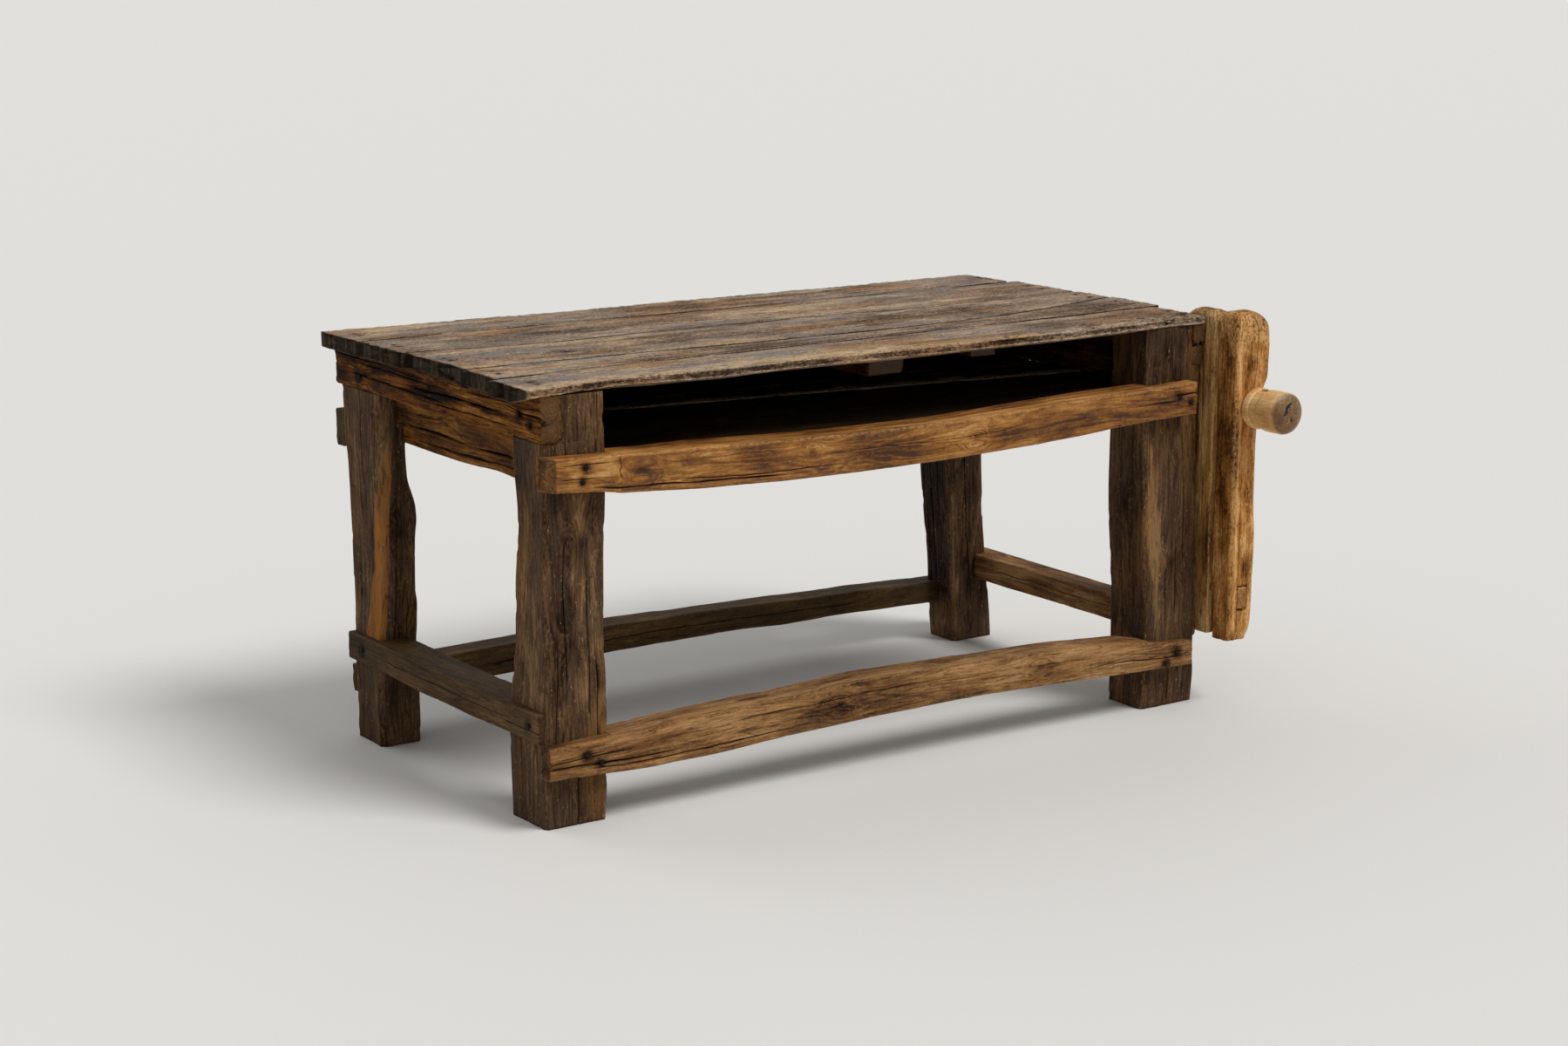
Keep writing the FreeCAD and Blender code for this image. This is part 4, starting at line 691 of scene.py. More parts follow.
paints = {
    # Oak that was scrubbed and rained on: beige and brown, with golden fields and slate grey ones; the grey
    # is weather and also a painted sheen.
    "top": old_wood(
        "oak_top_weathered", "#392b20", "#765f4b", "#a08771", "#ccb08a", grey="#85807e", greying_and_sheen=0.7,
        checks=0.7, hairs=0.5, flecks=0.9, specks=0.9, rings=0.4, patches=0.9, wear=0.75, mirror=0.08,
        relief=1.0, lift=0.085, gold="#98693a", golden=0.65, gilt="#a67436", grit=1.8, ends=0.94,
        end_brown="#20170a",
    ),
    # Oak squared with an axe, greased by hands: calm dark brown with olive and golden fields.
    "leg": old_wood(
        "oak_leg_hewn", "#21170f", "#463223", "#614831", "#8b6b48", grey="#4d4035", greying_and_sheen=0.4,
        dirt=0.35, hairs=0.45, flecks=0.55, fibre=0.3, patches=0.8, wear=0.45, mirror=0.06,
        gold="#75532a", golden=0.5, gilt="#a3631d",
    ),
    # Riven pine that nobody oiled: rusty brown, torn along its rings.
    "end_rail": old_wood(
        "pine_end_rail_dry", "#1f0f05", "#502d0f", "#784a1b", "#a27036", checks=0.7, flecks=0.15,
        figure=0.65, fibre=0.7, mirror=0.04, relief=1.0, gold="#804b14", gilt="#9c6420", ends=0.85,
        end_brown="#5e4631",
    ),
    # Planed pine, polished by a century of aprons: orange brown, a soft shine.
    "rail": old_wood(
        "pine_rail_planed", "#432409", "#794a1b", "#9c6a30", "#c2935c", greying_and_sheen=0.06, dirt=0.25,
        checks=0.35, hairs=0.45, figure=0.42, fibre=0.45, patches=0.9, shine=0.52, mirror=0.25,
        relief=0.5, gold="#ab7230", golden=0.4, gilt="#b97f3a",
    ),
    # Oak under boots: the same oak as the legs, but rubbed pale and warm.
    "stretcher": old_wood(
        "oak_stretcher_footworn", "#2f1e10", "#674528", "#8a633a", "#af8558", grey="#6e5c4a", greying_and_sheen=0.1,
        checks=0.4, hairs=0.5, flecks=0.3, figure=0.45, fibre=0.5, lift=0.04, gold="#96673a",
        gilt="#b08352",
    ),
    # Sawn oak that saw little wear: flat grey brown.
    "side": old_wood(
        "oak_side_stretcher_sawn", "#1f160b", "#42311d", "#5a4327", "#7f613a", grey="#50432f",
        greying_and_sheen=0.35, dirt=0.3, checks=0.35, hairs=0.4, flecks=0.15, figure=0.35, rings=0.5, fibre=0.5,
        patches=0.7, wear=0.3, relief=0.6, gold="#664a2b", golden=0.2, gilt="#83512a",
    ),
    # Rough pine inside the frame, orange where light never bleached it.
    "inner": old_wood(
        "pine_inner_rough", "#1e1004", "#4d2c0c", "#764a18", "#9d6e33", dirt=0.45, checks=0.6, figure=0.6,
        rings=0.6, fibre=0.65, relief=1.0, gold="#8a5517",
    ),
    # The same pine, but its sawn ends were left in the light and went mauve grey.
    "batten": old_wood(
        "pine_batten_sawn", "#170b05", "#38200e", "#543014", "#7a4c26", dirt=0.45, checks=0.6, specks=0.6,
        figure=0.6, rings=0.6, fibre=0.65, wear=0.3, relief=1.0, golden=0.3, ends=0.9,
        end_brown="#5c4c41",
    ),
    # Pine in the closed compartment, painted near black: the compartment's shade, and a century of dust.
    "dusty": old_wood(
        "pine_shelf_shade_and_dust", "#110d09", "#231a11", "#35271a", "#4c3926", grey="#1c1916", greying_and_sheen=0.2,
        dirt=0.5, checks=0.4, hairs=0.3, flecks=0.0, figure=0.5, rings=0.3, patches=0.7, wear=0.2,
        mirror=0.03, gold="#2a1c0d", golden=0.2,
    ),
    # Beech split for the jaw: tan with olive shades and open slits.
    "jaw": old_wood(
        "beech_fixed_jaw", "#38240f", "#80562a", "#ac7f48", "#d2aa76", grey="#6b5a3c", greying_and_sheen=0.25,
        dirt=0.35, checks=0.5, flecks=0.45, figure=0.5, rings=0.5, fibre=0.55, wear=0.6, lift=0.13,
        gold="#a06b2b", golden=0.5, pitted=0.5,
    ),
    # Half a beech log, drawknifed: honey and olive, full of worm holes, crumbly at the top.
    "chop": old_wood(
        "beech_chop_worn", "#4c2b10", "#93602b", "#bd8446", "#deb075", grey="#84693b", greying_and_sheen=0.2,
        dirt=0.3, hairs=0.2, flecks=0.6, specks=0.35, holes=0.6, figure=0.4, rings=0.5, patches=1.1,
        wear=0.6, gold="#b3702a", golden=0.6, grit=1.1, pitted=0.4,
    ),
    # Turned beech, worn smooth by palms; its end is waxed like a handle.
    "screw": old_wood(
        "beech_screw_turned", "#80532a", "#c08f54", "#dcab6c", "#f0cb94", greying_and_sheen=0.05, dirt=0.2,
        hairs=0.2, flecks=0.4, holes=0.5, figure=0.4, rings=0.3, patches=0.9, wear=0.6, shine=0.5,
        mirror=0.36, polish=0.36, relief=0.25, lift=0.15, gold="#c78b44", ends=0.86, end_brown="#553a1f",
    ),
}
print("paints", list(paints))


# %% [markdown]
# ## The top
# Five long planks, each cut from a tree that tapered, lie with open, wandering joints. Their ends
# are weathered into combs of fibre, and the front one is crumbly and chipped along its edge. Each
# plank is one timber between two joint lines, which is how the gaps between planks come out even.

# %% Joint lines of the top, as depth by place along the bench
joints = [
    [(-30, -6), (30, 0), (100, 12), (170, 22), (260, 10), (400, -4), (560, 2), (750, -10), (950, -12),
        (1150, -16), (1320, -12), (1450, -4), (1540, -8)],
    [(-40, 132), (300, 140), (800, 145), (1200, 150), (1560, 160)],
    [(-40, 256), (156, 250), (328, 241), (589, 226), (870, 220), (995, 217), (1180, 231), (1337, 257),
        (1560, 314)],
    [(-40, 489), (24, 486), (169, 451), (296, 441), (456, 448), (936, 429), (1140, 408), (1560, 416)],
    [(-40, 655), (500, 640), (1297, 615), (1560, 623)],
    [(-40, 813), (200, 800), (500, 778), (900, 772), (1200, 766), (1560, 765)],
]
plank_spans = [(-30.5, 1535.2), (-14, 1559), (-8, 1556), (-16.5, 1547), (-21.5, 1528)]


def joint_at(number, along):
    """How far back a joint lies."""
    return sized(joints[number], along)


print("the front plank is", round(joint_at(1, 0.8) - joint_at(0, 0.8), 3), "m wide in its middle")


# %% Splits, knots and strokes of the planks
def moved(points, gap):
    """The same line, moved back by a gap."""
    return [(place, size + gap) for place, size in points]


plank_splits = [
    [(2, 0.3, 50, 620, 0.9, 5), (2, 0.72, 500, 1100, 0.8, 5), (2, 0.55, 1050, 1500, 0.9, 5),
        (0, 0.5, 100, 700, 0.8, 4)],
    [(2, 0.45, 0, 500, 0.8, 4), (2, 0.6, 700, 1500, 0.9, 5)],
    [(2, 0.25, 0, 450, 0.9, 5), (2, 0.5, 350, 1100, 1, 6), (2, 0.78, 800, 1500, 0.8, 5)],
    [(2, 0.3, 0, 700, 0.8, 5), (2, 0.66, 600, 1500, 0.9, 5), (2, 0.48, 100, 400, 0.7, 4)],
    [(2, 0.35, 100, 900, 0.8, 5), (2, 0.7, 700, 1450, 0.8, 5)],
]
plank_knots = [
    [(2, 0.35, 420, 7)], [(2, 0.5, 950, 9)], [(2, 0.6, 250, 12), (2, 0.35, 1200, 10)],
    [(2, 0.5, 800, 13)], [(2, 0.4, 350, 10)],
]
plank_strokes = [
    [(2, 0.92, -30, 500, 18, 1), (2, 0.85, 350, 750, 30, 0.8), (2, 0.35, 100, 1000, 40, 0.5),
        (2, 0.5, 1100, 1500, 50, -0.9)],
    [(2, 0.4, 0, 400, 40, 0.6), (2, 0.5, 500, 1500, 36, -0.9), (2, 0.9, 300, 1100, 10, -1)],
    [(2, 0.5, 400, 1200, 60, -0.9), (2, 0.6, 0, 350, 40, -0.4), (2, 0.3, 900, 1500, 30, -0.6)],
    [(2, 0.55, 100, 600, 50, -0.7), (2, 0.35, 700, 1050, 24, 1.3), (2, 0.5, 1100, 1500, 50, -0.5)],
    [(2, 0.22, 50, 550, 20, 1.6), (2, 0.4, 600, 1200, 40, -0.8), (2, 0.2, 800, 1150, 14, 1.5)],
]
print("splits by plank", [len(splits) for splits in plank_splits])


# %% Crumbled, torn and rubbed edges
# The worktop's height.
WORKTOP = 0.7992


def crumbled(along, b, c, side, share):
    """The front plank's edge: a pale, bitten rim, a dark brown face and a torn splinter."""
    off = b - joint_at(0, along)
    late = held((along - 1.15) / 0.3)
    near = held(1.15 - off / (0.030 + 0.050 * late)) * (side != 0)
    spot = np.stack([along, b, c], -1)
    bite = held(rough(spot * np.array([34, 30, 30]), 91, 4) - 0.1)
    bite += 0.6 * held(rough(spot * np.array([80, 95, 95]), 92, 2) - 0.15)
    tear = np.exp(-(((along - 1.02) / 0.045) ** 2)) * 9 + np.exp(-(((along - 1.13) / 0.02) ** 2)) * 5
    depth = (4.5 + 4.5 * late) * bite + tear * (0.4 + bite) * (side == 3)
    speck = rough(spot * np.array([60, 110, 110]), 94, 2)
    field = rough(spot * np.array([9, 40, 60]), 98, 2)
    top = near * held((c - 0.7966) / 0.0014)
    face = held(1 - off / 0.010) * (side != 0) * held((0.7974 - c) / 0.0014)
    low = held((0.7880 - c) / 0.0015) * face
    tone = top * (1.35 - 2.4 * late + 1.5 * speck - 2.2 * bite) - face * (1.7 - 0.9 * field - 0.7 * speck)
    return -near * depth * MM, tone + 2.4 * low, 0.72 * top * (1 - 0.2 * late) - 0.6 * face + 1.1 * low


def open_joint(along, b, c, side, share):
    """The third plank's lip along the widest joint is crumbly and pale."""
    near = held(1 - (1 - share) * 0.10 / 0.020) * (side == 2) * held((0.75 - along) / 0.2)
    bite = held(rough(np.stack([along * 60, b * 50, c * 30], -1), 93, 3) - 0.1)
    return -near * 4.0 * bite * MM, near * (0.6 + bite), near * 0.9


def furry(along, b, c, side, share):
    """The back plank's back edge is torn across into short golden fibres."""
    near = held(1 - (joint_at(5, along) - b) / 0.022) * (c > 0.780)
    tear = rough(stretched(along, b, c, 150, 12), 99, 2)
    return -near * 1.6 * MM * np.clip(tear + 0.3, 0, 2), near * (1.1 + 1.8 * tear), near * 0.4


def rubbed_down(number):
    """Wears a plank's back edge down, so that the next one's front edge shows, and paints shade on the
    faces inside each joint, which make a dark line.
    """
    more = {0: crumbled, 2: open_joint, 4: furry}.get(number)

    def worn(along, b, c, side, share):
        push, tone, bare = more(along, b, c, side, share) if more else (0.0, 0.0, 0.0)
        near = held(1 - (joint_at(number + 1, along) - b) / 0.012) * (c > 0.785)
        uneven = 0.8 + 0.9 * rough(np.stack([along * 9, 0 * b, 0 * c + number], -1), 97)
        push = push - near**1.5 * edge_wear[number] * MM * uneven
        # Painted shade on the side faces inside the joints, below the worktop.
        front = (b < joint_at(number, along) + 0.005) & (c < 0.7987) & (number > 0)
        back = (b > joint_at(number + 1, along) - 0.004) & (c < 0.7975) & (number < 4)
        return push, tone + near * 0.5 - 4.0 * (front | back), bare - 1.0 * (front | back)
    return worn


def worn_under(along, b, c):
    """The front plank is worn thin at its front edge, to half its thickness."""
    thin = held(1 - (b - joint_at(0, along)) / 0.060)
    return along, b, WORKTOP - (WORKTOP - c) * (1 - 0.48 * thin)


print("the front edge's underside rises to", worn_under(0.8, joint_at(0, 0.8), 0.770)[2].round(4))


# %% The five planks
# How low each back edge is worn, how far the planks keep from each joint line, and the strokes
# of painted shade on the planks' joint faces and along their edges.
edge_wear = [4.2, 2.6, 1.0, 1.8, 0.0]
gaps = [0.6, 1.4, 2.1, 1.2, 1.3, 0.6]
joint_shade_strokes = [
    (1, 0.5, -50, 1600, 30, -3), (3, 0.5, -50, 1600, 30, -3), (2, 0.01, -50, 1600, 4, -1.4),
    (2, 0.99, -50, 1600, 4, -1.4),
]
for number in range(5):
    corners = (1.5, 2.0, 3.6 if number == 0 else 0.8, 2.0)
    timber(
        f"plank_{number + 1}", f"top_plank_{number + 1}", 0, plank_spans[number],
        (moved(joints[number], gaps[number]), moved(joints[number + 1], -gaps[number + 1]), 770, 799.2),
        paints["top"], steps=8, grid=4.2, arris=corners, chips=4 if number == 0 else 1.6,
        splits=plank_splits[number], knots=plank_knots[number],
        strokes=plank_strokes[number] + (joint_shade_strokes if number else joint_shade_strokes[:1] + joint_shade_strokes[2:3]),
        rag=(5.5, 5.5), seed=20 + number, comb=True, ink=1.5, form=worn_under if number == 0 else None,
        extra=rubbed_down(number),
    )


# %% [markdown]
# ## The legs
# Each leg is a different log, squared with an axe: it swells, narrows and keeps the bark's curve in
# places. The side curves below are read off the bench every twenty centimetres or so. The tops are
# notched for the end rails.

# %% What the four legs share
def to_thin_plank(along, b, c):
    """The front legs' tops rise to meet the front plank's worn underside."""
    rise = held(1 - c / 0.060) * 0.0140 * held((along - 0.705) / 0.06)
    return along + rise, b, c


def leg(which, sides, housing, seed, **worn):
    """A leg, hewn from the foot up, with a housing for the end rail cut into its top on one side."""
    hewn = {**dict(arris=6, wobble=2, ridges=0.45, chips=5), **worn}
    timber(
        f"leg_{which}", f"{which}_leg", 2, (0, 769.5), sides, paints["leg"],
        notches=[(700, 780, *housing)], rag=(1, 0.6), seed=seed, **hewn,
    )


print("a leg's top rises by", to_thin_plank(np.array([0.77]), 0, np.array([0.0]))[0] - 0.77)


# %% Front left leg
leg(
    "front_left",
    (
        [(0, 0), (140, 0), (300, 6), (450, 3), (560, 8), (770, 4)],
        [(0, 124), (100, 128), (220, 130), (340, 127), (460, 129), (580, 133), (770, 131)],
        [(0, 4), (50, 0), (200, 0), (420, 2), (600, 0), (770, 2)],
        [(0, 127), (150, 129), (220, 127), (285, 121), (350, 114), (415, 110), (480, 104), (545, 102),
            (606, 105), (640, 108), (770, 108)],
    ),
    splits=[(0, 0.55, 0, 120, 1, 8), (0, 0.3, 260, 500, 0.8, 6), (0, 0.72, 220, 460, 0.9, 7),
        (0, 0.86, 100, 360, 0.7, 5), (0, 0.15, 120, 340, 0.7, 5), (3, 0.3, 50, 400, 0.8, 6),
        (3, 0.6, 300, 600, 0.7, 5), (3, 0.8, 0, 140, 1, 8), (1, 0.5, 100, 500, 0.9, 6)],
    knots=[(0, 0.42, 335, 9), (0, 0.62, 515, 13), (3, 0.5, 200, 9)],
    strokes=[(0, 0.84, 300, 500, 7, 1.5), (0, 0.62, 360, 460, 9, 1.7), (0, 0.62, 220, 300, 10, 1.8),
        (0, 0.6, 530, 600, 14, 1.3), (0, 0.48, 420, 520, 4, 1.6), (0, 0.2, 550, 590, 12, 1.3),
        (3, 0.62, 140, 420, 26, 1.3), (3, 0.3, 300, 600, 12, 0.8), (0, 0.5, 0, 100, 40, -0.5),
        (0, 0.15, 100, 600, 14, -0.6), (0, 0.5, 660, 770, 40, 0.7)],
    housing=(3, 41.5), seed=31, form=to_thin_plank,
)

# %% Front right leg
leg(
    "front_right",
    (
        [(0, 1397), (200, 1399), (300, 1392), (420, 1387), (550, 1385), (770, 1386)],
        [(0, 1537), (70, 1537.5), (100, 1532), (200, 1530), (380, 1529), (560, 1521), (770, 1520)],
        [(0, 3), (50, 0), (400, 1), (770, 1)], [(0, 108), (200, 109), (400, 111), (770, 107)],
    ),
    ridges=0.4,
    splits=[(0, 0.62, 200, 340, 1, 7), (0, 0.78, 300, 560, 0.8, 5), (0, 0.4, 160, 280, 0.8, 6),
        (3, 0.35, 100, 600, 0.9, 6), (3, 0.7, 300, 700, 0.8, 5), (0, 0.5, 0, 100, 0.8, 6)],
    knots=[(0, 0.55, 300, 10), (3, 0.5, 420, 14)],
    strokes=[(0, 0.08, 300, 560, 8, 1.8), (0, 0.2, 180, 500, 9, 1.5), (0, 0.35, 450, 600, 14, 0.5),
        (3, 0.1, 200, 600, 12, 0.5), (0, 0.45, 650, 770, 40, -0.6)],
    housing=(1, 1508), seed=35, form=to_thin_plank,
)


# %% Back left leg, with its golden wedge
def gilded(along, b, c, side, share):
    """A riven, golden wedge on the leg's left face: half the face low down, a point at two feet up."""
    edge = np.interp(along, [0.0, 0.2, 0.30, 0.40, 0.50, 0.60], [0.637, 0.634, 0.616, 0.610, 0.616, 0.622])
    width = np.interp(along, [0.10, 0.20, 0.33, 0.50, 0.60], [0.058, 0.062, 0.050, 0.022, 0.002])
    width = width + 0.004 * rough(stretched(along, c, b, 30, 40), 95)
    mask = held((width - (c - edge)) / 0.004) * (b < 0.028) * (side != 0) * fade(along, 0.19, 0.62, 0.03)
    return -0.8 * MM * mask, mask * (2.6 + 0.9 * rough(stretched(along, c, b, 20, 90), 96)), 0


leg(
    "back_left",
    (
        [(0, 2), (200, 0), (400, 1), (600, 2), (770, 0)],
        [(0, 85), (150, 84), (210, 79), (285, 78), (305, 73), (410, 72), (450, 78), (480, 77), (530, 63),
            (580, 61), (770, 66)],
        [(0, 637), (200, 634), (300, 616), (400, 610), (500, 616), (600, 622), (770, 623)],
        [(0, 742), (200, 742), (340, 741), (430, 746), (500, 750), (560, 756), (600, 766), (770, 768)],
    ),
    arris=(5, 5, 5, [(0, 7), (200, 9), (300, 12), (420, 18), (560, 28), (770, 26)]), wobble=1.8,
    ease=5,
    splits=[(3, 0.62, 500, 700, 1.2, 9), (0, 0.3, 200, 500, 0.8, 5), (3, 0.45, 250, 600, 0.8, 6),
        (3, 0.3, 100, 400, 0.8, 5), (0, 0.7, 100, 300, 0.8, 5)],
    knots=[(0, 0.45, 430, 11), (3, 0.3, 300, 8)],
    strokes=[(3, 0.86, 20, 140, 14, 1.6), (3, 0.4, 300, 600, 20, 0.4), (0, 0.5, 100, 650, 34, -0.8)],
    housing=(3, 41.5), seed=39, extra=gilded,
)

# %% Back right leg
leg(
    "back_right",
    (
        [(0, 1424), (50, 1418), (210, 1407), (370, 1395), (500, 1391), (770, 1392)],
        [(0, 1529), (60, 1525), (260, 1502), (400, 1492), (550, 1491), (770, 1500)],
        [(0, 660), (200, 659), (400, 654), (600, 654), (770, 654)],
        [(0, 746), (200, 747), (400, 757), (600, 764), (770, 765)],
    ),
    chips=6,
    splits=[(3, 0.4, 150, 660, 1.5, 10), (3, 0.7, 300, 600, 0.9, 6), (0, 0.5, 100, 500, 0.8, 5),
        (3, 0.15, 50, 300, 0.9, 6)],
    knots=[(0, 0.5, 500, 13), (3, 0.6, 560, 10)],
    strokes=[(0, 0.1, 100, 350, 10, 1.2), (0, 0.5, 100, 600, 40, -0.9), (3, 0.5, 100, 700, 60, -1.8)],
    housing=(1, 1496.5), seed=43,
)


# %% [markdown]
# ## The rails
# The front rail is the best piece of wood on the bench: a sagging pine pole, planed by hand, with a
# chamfered left end and an open crack near its lower edge. The end rails are riven and dry, with
# relief like a torn page. The long rails are halved over the legs, so between the legs they are twice
# as deep, and the end rails are let into the legs' tops.

# %% Halved ends
# A place beyond every timber's end.
FAR = 2000


def halved(first, last, side, at):
    """Both ends are cut down to a height on one side, up to the first shoulder and from the last."""
    return [(-FAR, first, side, at), (last, FAR, side, at)]


print("halved ends", halved(100, 900, 1, 0))


# %% Front upper rail
def slanted_end(along, b, c):
    """The rail's left end is cut at a slant, back from the front face."""
    return along - 0.48 * (b + 0.038) * held(1 - (along - 0.009) / 0.03), b, c


def shouldered(along, b, c, side, share):
    """A dark saw line where the halved left end meets the full rail."""
    off = along - 0.1405 - 0.002 * np.sin(c * 300)
    line = np.exp(-((off / 0.0012) ** 2)) * (side == 3) * (share < 0.62)
    return -line * 1.5 * MM, -line * 3.0, 0


timber(
    "rail_front", "front_upper_rail", 0, (9, 1490),
    (
        [(0, -38.5), (139, -38.5), (142, -36.5), (300, -38), (1500, -38)], [(0, 37), (1530, 37)],
        [(0, 619), (100, 612), (145, 604), (300, 593), (490, 586), (680, 583), (890, 584), (1100, 591),
            (1360, 605), (1510, 608)],
        [(0, 680), (100, 676), (200, 672), (300, 671), (490, 663), (680, 658), (890, 658), (1100, 664),
            (1360, 671), (1510, 675)],
    ),
    paints["rail"], arris=5, wobble=1, ridges=0.18,
    splits=[(3, 0.9, 100, 500, 1.3, 8), (3, 0.8, 250, 600, 0.8, 5), (3, 0.3, 1440, 1510, 2, 12),
        (3, 0.5, 1340, 1430, 1, 6), (3, 0.16, 20, 120, 0.8, 4), (3, 0.62, 20, 100, 0.8, 4),
        (2, 0.75, 350, 1200, 1, 6), (2, 0.4, 700, 1400, 0.9, 5), (2, 0.6, 150, 600, 0.8, 4),
        (3, 0.42, 600, 1000, 0.5, 2), (2, 0.82, 950, 1350, 1.2, 7)],
    knots=[(3, 0.45, 185, 11), (3, 0.3, 550, 6), (3, 0.6, 930, 7)],
    strokes=[(3, 0.5, 30, 140, 30, 0.9), (3, 0.2, 300, 1200, 12, 0.7), (3, 0.6, 600, 1400, 16, -0.4),
        (2, 0.85, 100, 1500, 12, 1.3), (3, 0.4, 1380, 1460, 16, -0.9), (3, 0.35, 70, 100, 9, -1.2)],
    notches=halved(132.5, 1384.5, 1, -0.3), rag=(1.5, 5), seed=51, fine=[(136, 146, 1)],
    form=slanted_end, extra=shouldered,
)

# %% Back upper rail
timber(
    "rail_back", "back_upper_rail", 0, (2.5, 1501.5),
    (
        726.5, 797.5, [(0, 578), (500, 582), (1000, 580), (1500, 577)],
        [(0, 648), (500, 650), (1000, 646), (1500, 650)],
    ),
    paints["side"], steps=8, grid=8, wobble=1.4,
    splits=[(1, 0.4, 200, 900, 1, 6), (1, 0.7, 800, 1400, 0.9, 5), (3, 0.5, 300, 1000, 0.9, 5)],
    knots=[(1, 0.5, 600, 12), (1, 0.4, 1150, 9)], notches=halved(92.5, 1391.5, 3, 765.3), rag=(2, 2),
    seed=55,
)

# %% Left end rail, let into the legs' tops
under_planks = [(-3, 783.5), (55, 770), (790, 769.5)]
timber(
    "rail_left", "left_end_rail", 1, (-2.5, 788.5),
    (
        [(0, 701.5), (50, 701.5), (200, 703), (400, 700.5), (600, 702), (790, 700.5)], under_planks,
        [(0, 1), (120, -0.5), (300, -3), (500, -4), (660, -1), (790, 0.5)], 40.8,
    ),
    paints["end_rail"], steps=5, grid=5, wobble=1.2, ridges=0.6, chips=5,
    splits=[(0, 0.64, -20, 120, 3.2, 17, 0.3), (0, 0.42, 140, 480, 1.8, 11, 0.08),
        (0, 0.8, 100, 360, 1.4, 9), (0, 0.26, 360, 720, 1.2, 7), (0, 0.62, 420, 700, 1.2, 7),
        (0, 0.85, 500, 780, 1.2, 7), (0, 0.15, 120, 400, 0.9, 5)],
    knots=[(0, 0.7, 400, 7), (0, 0.45, 660, 8)],
    strokes=[(0, 0.55, 100, 400, 12, -1), (0, 0.8, 450, 700, 10, -0.8), (0, 0.2, 0, 500, 14, 0.8),
        (0, 0.5, 500, 750, 14, 0.7)],
    hollow=[(0, 0.62, 130, 60, 9, 6), (0, 0.5, 330, 50, 8, 4)], rag=(1.5, 3), seed=61,
)


# %% Right end rail
def narrow_end(along, b, c):
    """The right end rail's front end is cut narrower, and its lower half is broken shorter."""
    thin = held((0.105 - along) / 0.004)
    along = along + 0.006 * held((0.741 - b) / 0.002) * held(1 - along / 0.02)
    return along, b, c + thin * (1.5375 - c) * (0.0118 / 0.0403)


timber(
    "rail_right", "right_end_rail", 1, (-2.5, 788.5), (700.5, under_planks, 1497.2, 1537.5),
    paints["end_rail"], ridges=0.5, chips=5,
    splits=[(2, 0.4, 100, 600, 1.2, 7), (2, 0.7, 300, 750, 1, 6), (0, 0.5, 200, 700, 1, 5),
        (2, 0.5, -20, 100, 3, 12)],
    knots=[(2, 0.5, 500, 9)], rag=(3, 3), seed=65, cuts=[(0, 0, 741, 5, 13)], form=narrow_end,
)


# %% [markdown]
# ## The stretchers
# Boots have rested on them for a century: their upper arrises are round and pale. The front one
# bows upwards, as the log did. The side ones are sawn straight and let into the legs' sides.

# %% Front lower stretcher
timber(
    "stretcher_front", "front_lower_stretcher", 0, (-11.5, 1498.5),
    (
        -33.8, 39.5,
        [(0, 101), (112, 97), (200, 92), (340, 92), (490, 100), (690, 107), (900, 108), (1120, 102),
            (1340, 92), (1500, 88)],
        [(0, 159), (113, 164), (300, 173), (490, 178), (690, 184), (900, 178), (1120, 172), (1340, 158),
            (1420, 144), (1500, 139)],
    ),
    paints["stretcher"], arris=6, wobble=1.8, chips=4.5,
    splits=[(3, 0.72, -10, 220, 1.6, 10), (3, 0.45, 0, 160, 1, 7), (3, 0.85, 100, 500, 1, 6),
        (3, 0.3, 400, 800, 0.8, 4), (2, 0.5, 200, 1200, 0.9, 5), (3, 0.6, 1300, 1520, 1, 7),
        (3, 0.35, 1380, 1520, 0.8, 5)],
    knots=[(3, 0.5, 620, 9), (3, 0.4, 1100, 8)],
    strokes=[(2, 0.85, 100, 1450, 14, 1.2), (3, 0.12, 100, 1400, 9, 0.9), (3, 0.6, 500, 900, 16, -0.5),
        (3, 0.5, 0, 200, 18, 0.4)],
    notches=halved(126, 1398.5, 1, -0.3), rag=(4, 2), seed=71,
)

# %% Back lower stretcher
timber(
    "stretcher_back", "back_lower_stretcher", 0, (12.5, 1523.5),
    (
        709.5, 780.5, [(0, 82), (330, 85), (565, 92), (890, 93), (1390, 82), (1520, 76)],
        [(0, 138), (190, 140), (610, 147), (940, 140), (1200, 134), (1440, 127), (1520, 127)],
    ),
    paints["side"], steps=8, grid=8, arris=5, wobble=2,
    splits=[(1, 0.4, 200, 900, 1, 6), (3, 0.5, 300, 1200, 1, 5), (1, 0.7, 800, 1400, 0.9, 5)],
    knots=[(1, 0.5, 500, 10)], strokes=[(2, 0.8, 200, 1300, 14, 0.9), (3, 0.3, 300, 1200, 12, 0.5)],
    notches=halved(87, 1430, 3, 747.3), rag=(2, 2), seed=75,
)

# %% Side stretchers
timber(
    "stretcher_left", "left_lower_stretcher", 1, (2.5, 744.5),
    (
        [(0, 161), (100, 160), (250, 156.5), (450, 157), (580, 161), (750, 160.5)],
        [(0, 214), (120, 215.5), (400, 214), (600, 215.5), (750, 214)], -11.8, 61.8,
    ),
    paints["side"], steps=5, grid=5, arris=3.5, wobble=0.7, ridges=0.3, chips=3,
    splits=[(0, 0.45, 150, 600, 0.6, 4), (0, 0.3, 0, 120, 0.8, 5)],
    strokes=[(0, 0.5, -10, 30, 30, 1.1), (1, 0.5, 100, 600, 30, 0.5)],
    notches=halved(129, 635.9, 2, 21.5), rag=(1.5, 1.5), seed=81,
)
timber(
    "stretcher_right", "right_lower_stretcher", 1, (2.5, 744.5), (137.5, 192.5, 1476.5, 1537.5),
    paints["stretcher"], steps=7, grid=7, arris=3.5, ridges=0.3, chips=3,
    splits=[(0, 0.5, 200, 600, 0.7, 4), (2, 0.4, 100, 600, 0.8, 4)],
    notches=halved(112.5, 659.3, 0, 1508.5), rag=(2, 2), seed=85,
)
